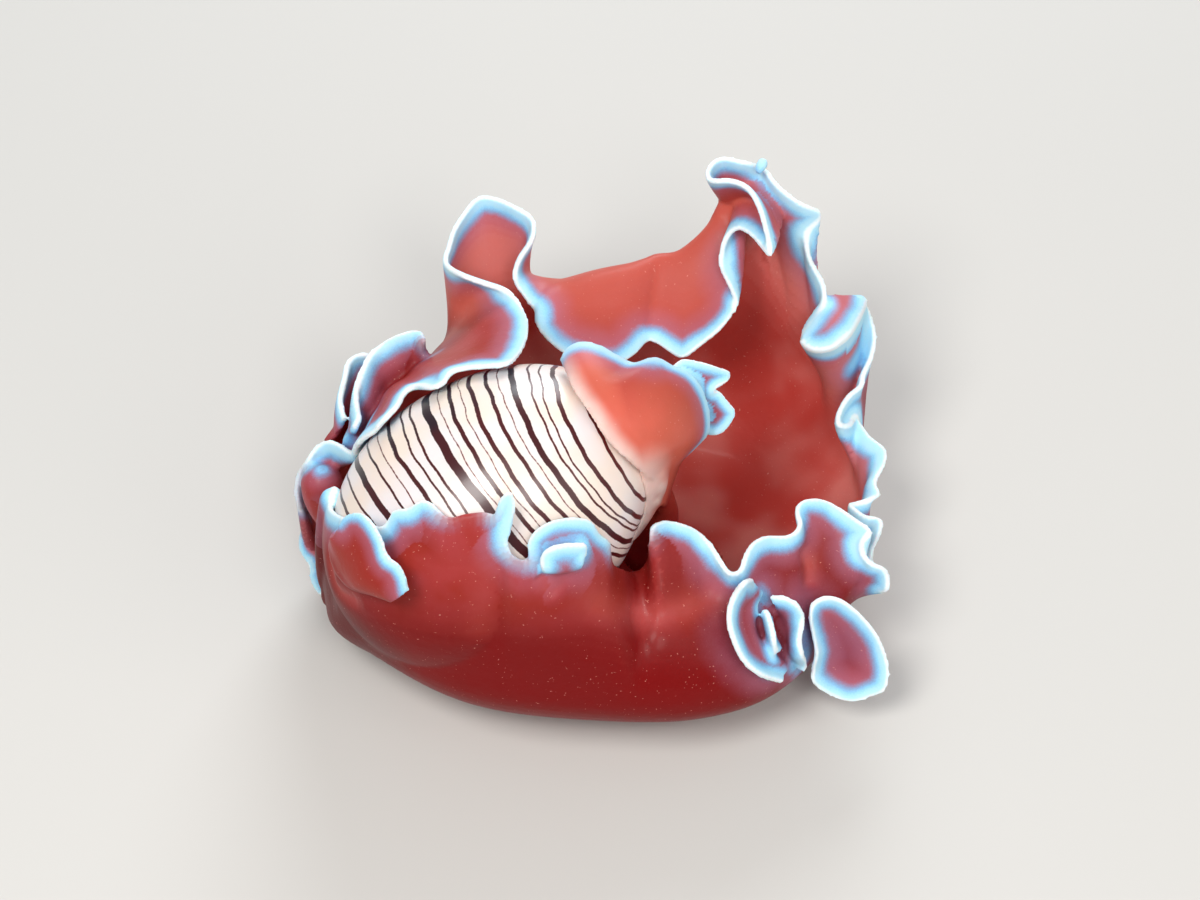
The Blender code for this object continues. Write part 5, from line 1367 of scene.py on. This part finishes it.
class Paint:
    """A material, with short ways to add nodes that make its colour."""

    def __init__(self, name, surface):
        self.material = bpy.data.materials.new(name)
        self.material.use_nodes = True
        self.tree = self.material.node_tree
        self.shader = self.tree.nodes["Principled BSDF"]
        for socket, value in surface.items():
            self.put(self.shader.inputs[socket], value)

    def put(self, socket, item):
        """Link a socket, or set it to a named colour or a number."""
        if isinstance(item, bpy.types.NodeSocket):
            self.tree.links.new(item, socket)
        else:
            socket.default_value = linear(item) if isinstance(item, str) else item

    def node(self, kind, output, inputs, **settings):
        made = self.tree.nodes.new("ShaderNode" + kind)
        for name, value in settings.items():
            setattr(made, name, value)
        for socket, item in inputs.items():
            self.put(made.inputs[socket], item)
        return made.outputs[output]

    def guide(self, name):
        return self.node("Attribute", "Fac", {}, attribute_name=name)

    def noise(self, name):
        cell, detail = NOISES[name]
        place = self.node("TexCoord", "Object", {})
        return self.node("TexNoise", "Fac",
                         {"Vector": place, "Scale": 1 / (cell * MM), "Detail": detail})

    def fit(self, value, low, high):
        """0 at low to 1 at high, with soft ends."""
        return self.node("MapRange", 0, {0: value, 1: low, 2: high},
                         interpolation_type="SMOOTHSTEP")

    def mix(self, factor, first, second):
        return self.node("Mix", 2, {0: factor, 6: first, 7: second}, data_type="RGBA")

    def over(self, below, amount, colour):
        """Lay a colour over another by an amount, up to its share."""
        return self.mix(self.times(amount, SHARES[colour]), below, colour)

    def math(self, way, first, second):
        return self.node("Math", 0, {0: first, 1: second}, operation=way)

    def times(self, first, second):
        return self.math("MULTIPLY", first, second)

    def wobble(self, noise, size):
        """Noise made to swing about 0, from the lowest to the highest by size."""
        return self.times(self.math("SUBTRACT", noise, 0.5), size)


def flesh_material():
    paint = Paint("flesh", FLESH_SURFACE)
    fit, mix, over, guide, noise = paint.fit, paint.mix, paint.over, paint.guide, paint.noise
    clouds = noise("clouds")
    level, inner, veil = guide("level"), guide("inner"), guide("veil")
    cloud = fit(clouds, *NOISE_MIDDLE)
    outside = mix(cloud, "brick red", "dusky red")
    # Painted shade darkens the outer wall towards the bottom
    outside = mix(guide("low_shade"), outside, "low shade red")
    # Painted light on the far roll's top
    outside = mix(guide("far_roll_light"), outside, "painted lit far roll")
    # Painted shade low at the front, between the folds
    outside = over(outside, guide("front_fold_shade"), "front fold shade")
    haze = fit(noise("haze"), *NOISE_HAZE)
    # The pale haze is random, and towards the top of the inner wall it is painted light from
    # above
    haze = paint.math("MAXIMUM", haze, fit(level, *TOP_LIGHT_LEVEL))
    inside = mix(haze, "bowl red", "bowl pink")
    inside = mix(fit(level, *EDGE_LEVEL), "bowl edge", inside)
    colour = mix(inner, outside, inside)
    mantle = mix(fit(veil, *MANTLE_SALMON), "mantle on shell", "mantle salmon")
    mantle = mix(fit(veil, *MANTLE_RED), mantle, "mantle red")
    mantle = over(mantle, cloud, "mantle brown")
    colour = mix(guide("mantle"), colour, mantle)
    colour = over(colour, guide("cup"), "cup lilac")
    colour = over(colour, fit(noise("specks"), *NOISE_PEAKS), "speck")
    rim, power = guide("rim"), guide("rim_strength")
    grain = paint.wobble(noise("rim grain"), RIM_GRAIN)
    broken = paint.math("ADD", rim, paint.math("ADD", grain, paint.wobble(clouds, RIM_PATCHES)))
    broken = paint.math("SUBTRACT", broken, paint.times(inner, RIM_INSIDE))
    colour = over(colour, paint.times(fit(broken, *LILAC_BAND), power), "lilac")
    tint = mix(fit(broken, *BLUE_TINT), "pale blue", "sky blue")
    colour = mix(paint.times(fit(broken, *BLUE_BAND), power), colour, tint)
    colour = mix(paint.times(fit(rim, *WHITE_BAND), power), colour, "rim white")
    paint.put(paint.shader.inputs["Base Color"], colour)
    strength, depth = RELIEF
    bump = paint.node("Bump", "Normal", {"Height": noise("relief"), "Strength": strength,
                                         "Distance": depth * MM})
    paint.put(paint.shader.inputs["Normal"], bump)
    return paint.material


def shell_material():
    paint = Paint("shell", SHELL_SURFACE)
    fit, mix, guide, noise = paint.fit, paint.mix, paint.guide, paint.noise
    ground = mix(fit(noise("shell ground"), *NOISE_MIDDLE), "shell white", "shell cream")
    line = mix(fit(guide("turn"), *BROWN_TURNS), "line black", "line brown")
    line = paint.over(line, guide("red"), "line red")
    grain = paint.wobble(noise("line grain"), LINE_GRAIN)
    edge = paint.math("ADD", guide("edge"), grain)
    colour = mix(fit(edge, *LINE_EDGE), ground, line)
    # Painted shade low at the shell's rear end
    colour = mix(guide("shade"), colour, "shell shade")
    paint.put(paint.shader.inputs["Base Color"], colour)
    return paint.material


def area_light(name, place, aim, size, power, colour):
    data = bpy.data.lights.new(name, "AREA")
    data.shape = "DISK"
    data.size = size
    data.energy = power
    data.color = colour
    lamp = bpy.data.objects.new(name, data)
    lamp.location = place
    way = Vector(aim) - Vector(place)
    lamp.rotation_euler = way.to_track_quat("-Z", "Y").to_euler()
    bpy.context.scene.collection.objects.link(lamp)


def build_stage():
    """The floor, the sky, the lights and the camera."""
    scene = bpy.context.scene
    corners = [(x * STAGE_REACH, y * STAGE_REACH, 0)
               for x, y in ((-1, -1), (1, -1), (1, 1), (-1, 1))]
    floor = mesh_object("floor", corners, [(0, 1, 2, 3)])
    floor.data.materials.append(Paint("floor", FLOOR_SURFACE).material)
    world = bpy.data.worlds.new("world")
    scene.world = world
    world.use_nodes = True
    back = world.node_tree.nodes["Background"]
    back.inputs["Color"].default_value = SKY_COLOUR
    back.inputs["Strength"].default_value = SKY_STRENGTH
    scene.view_settings.view_transform = "Standard"
    for light in LIGHTS:
        area_light(*light)
    data = bpy.data.cameras.new("camera")
    data.sensor_width = SENSOR_WIDTH
    data.lens = SENSOR_WIDTH * VIEW_DISTANCE / (IMAGE_WIDTH * MM_PER_PIXEL)
    data.clip_start = 0.01
    data.clip_end = 20.0
    camera = bpy.data.objects.new("camera", data)
    camera.location = VIEW_POINT * MM
    camera.rotation_euler = (pi / 2 - VIEW_ELEVATION, 0.0, 0.0)
    scene.collection.objects.link(camera)
    scene.camera = camera


def main():
    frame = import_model()
    flesh = [name for name in frame["nodes"]
             if name not in ("shell", "eye_left", "eye_right")]
    build_stage()
    skin = build_skin()
    skin.data.materials.clear()
    skin.data.materials.append(flesh_material())
    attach(skin, "root")
    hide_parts(*flesh)
    shell = build_shell()
    shell.data.materials.append(shell_material())
    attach(shell, "root")
    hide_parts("shell")
    black = Paint("eye", EYE_SURFACE).material
    for name, eye in build_eyes():
        eye.data.materials.append(black)
        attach(eye, "root")
        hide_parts(name)


main()
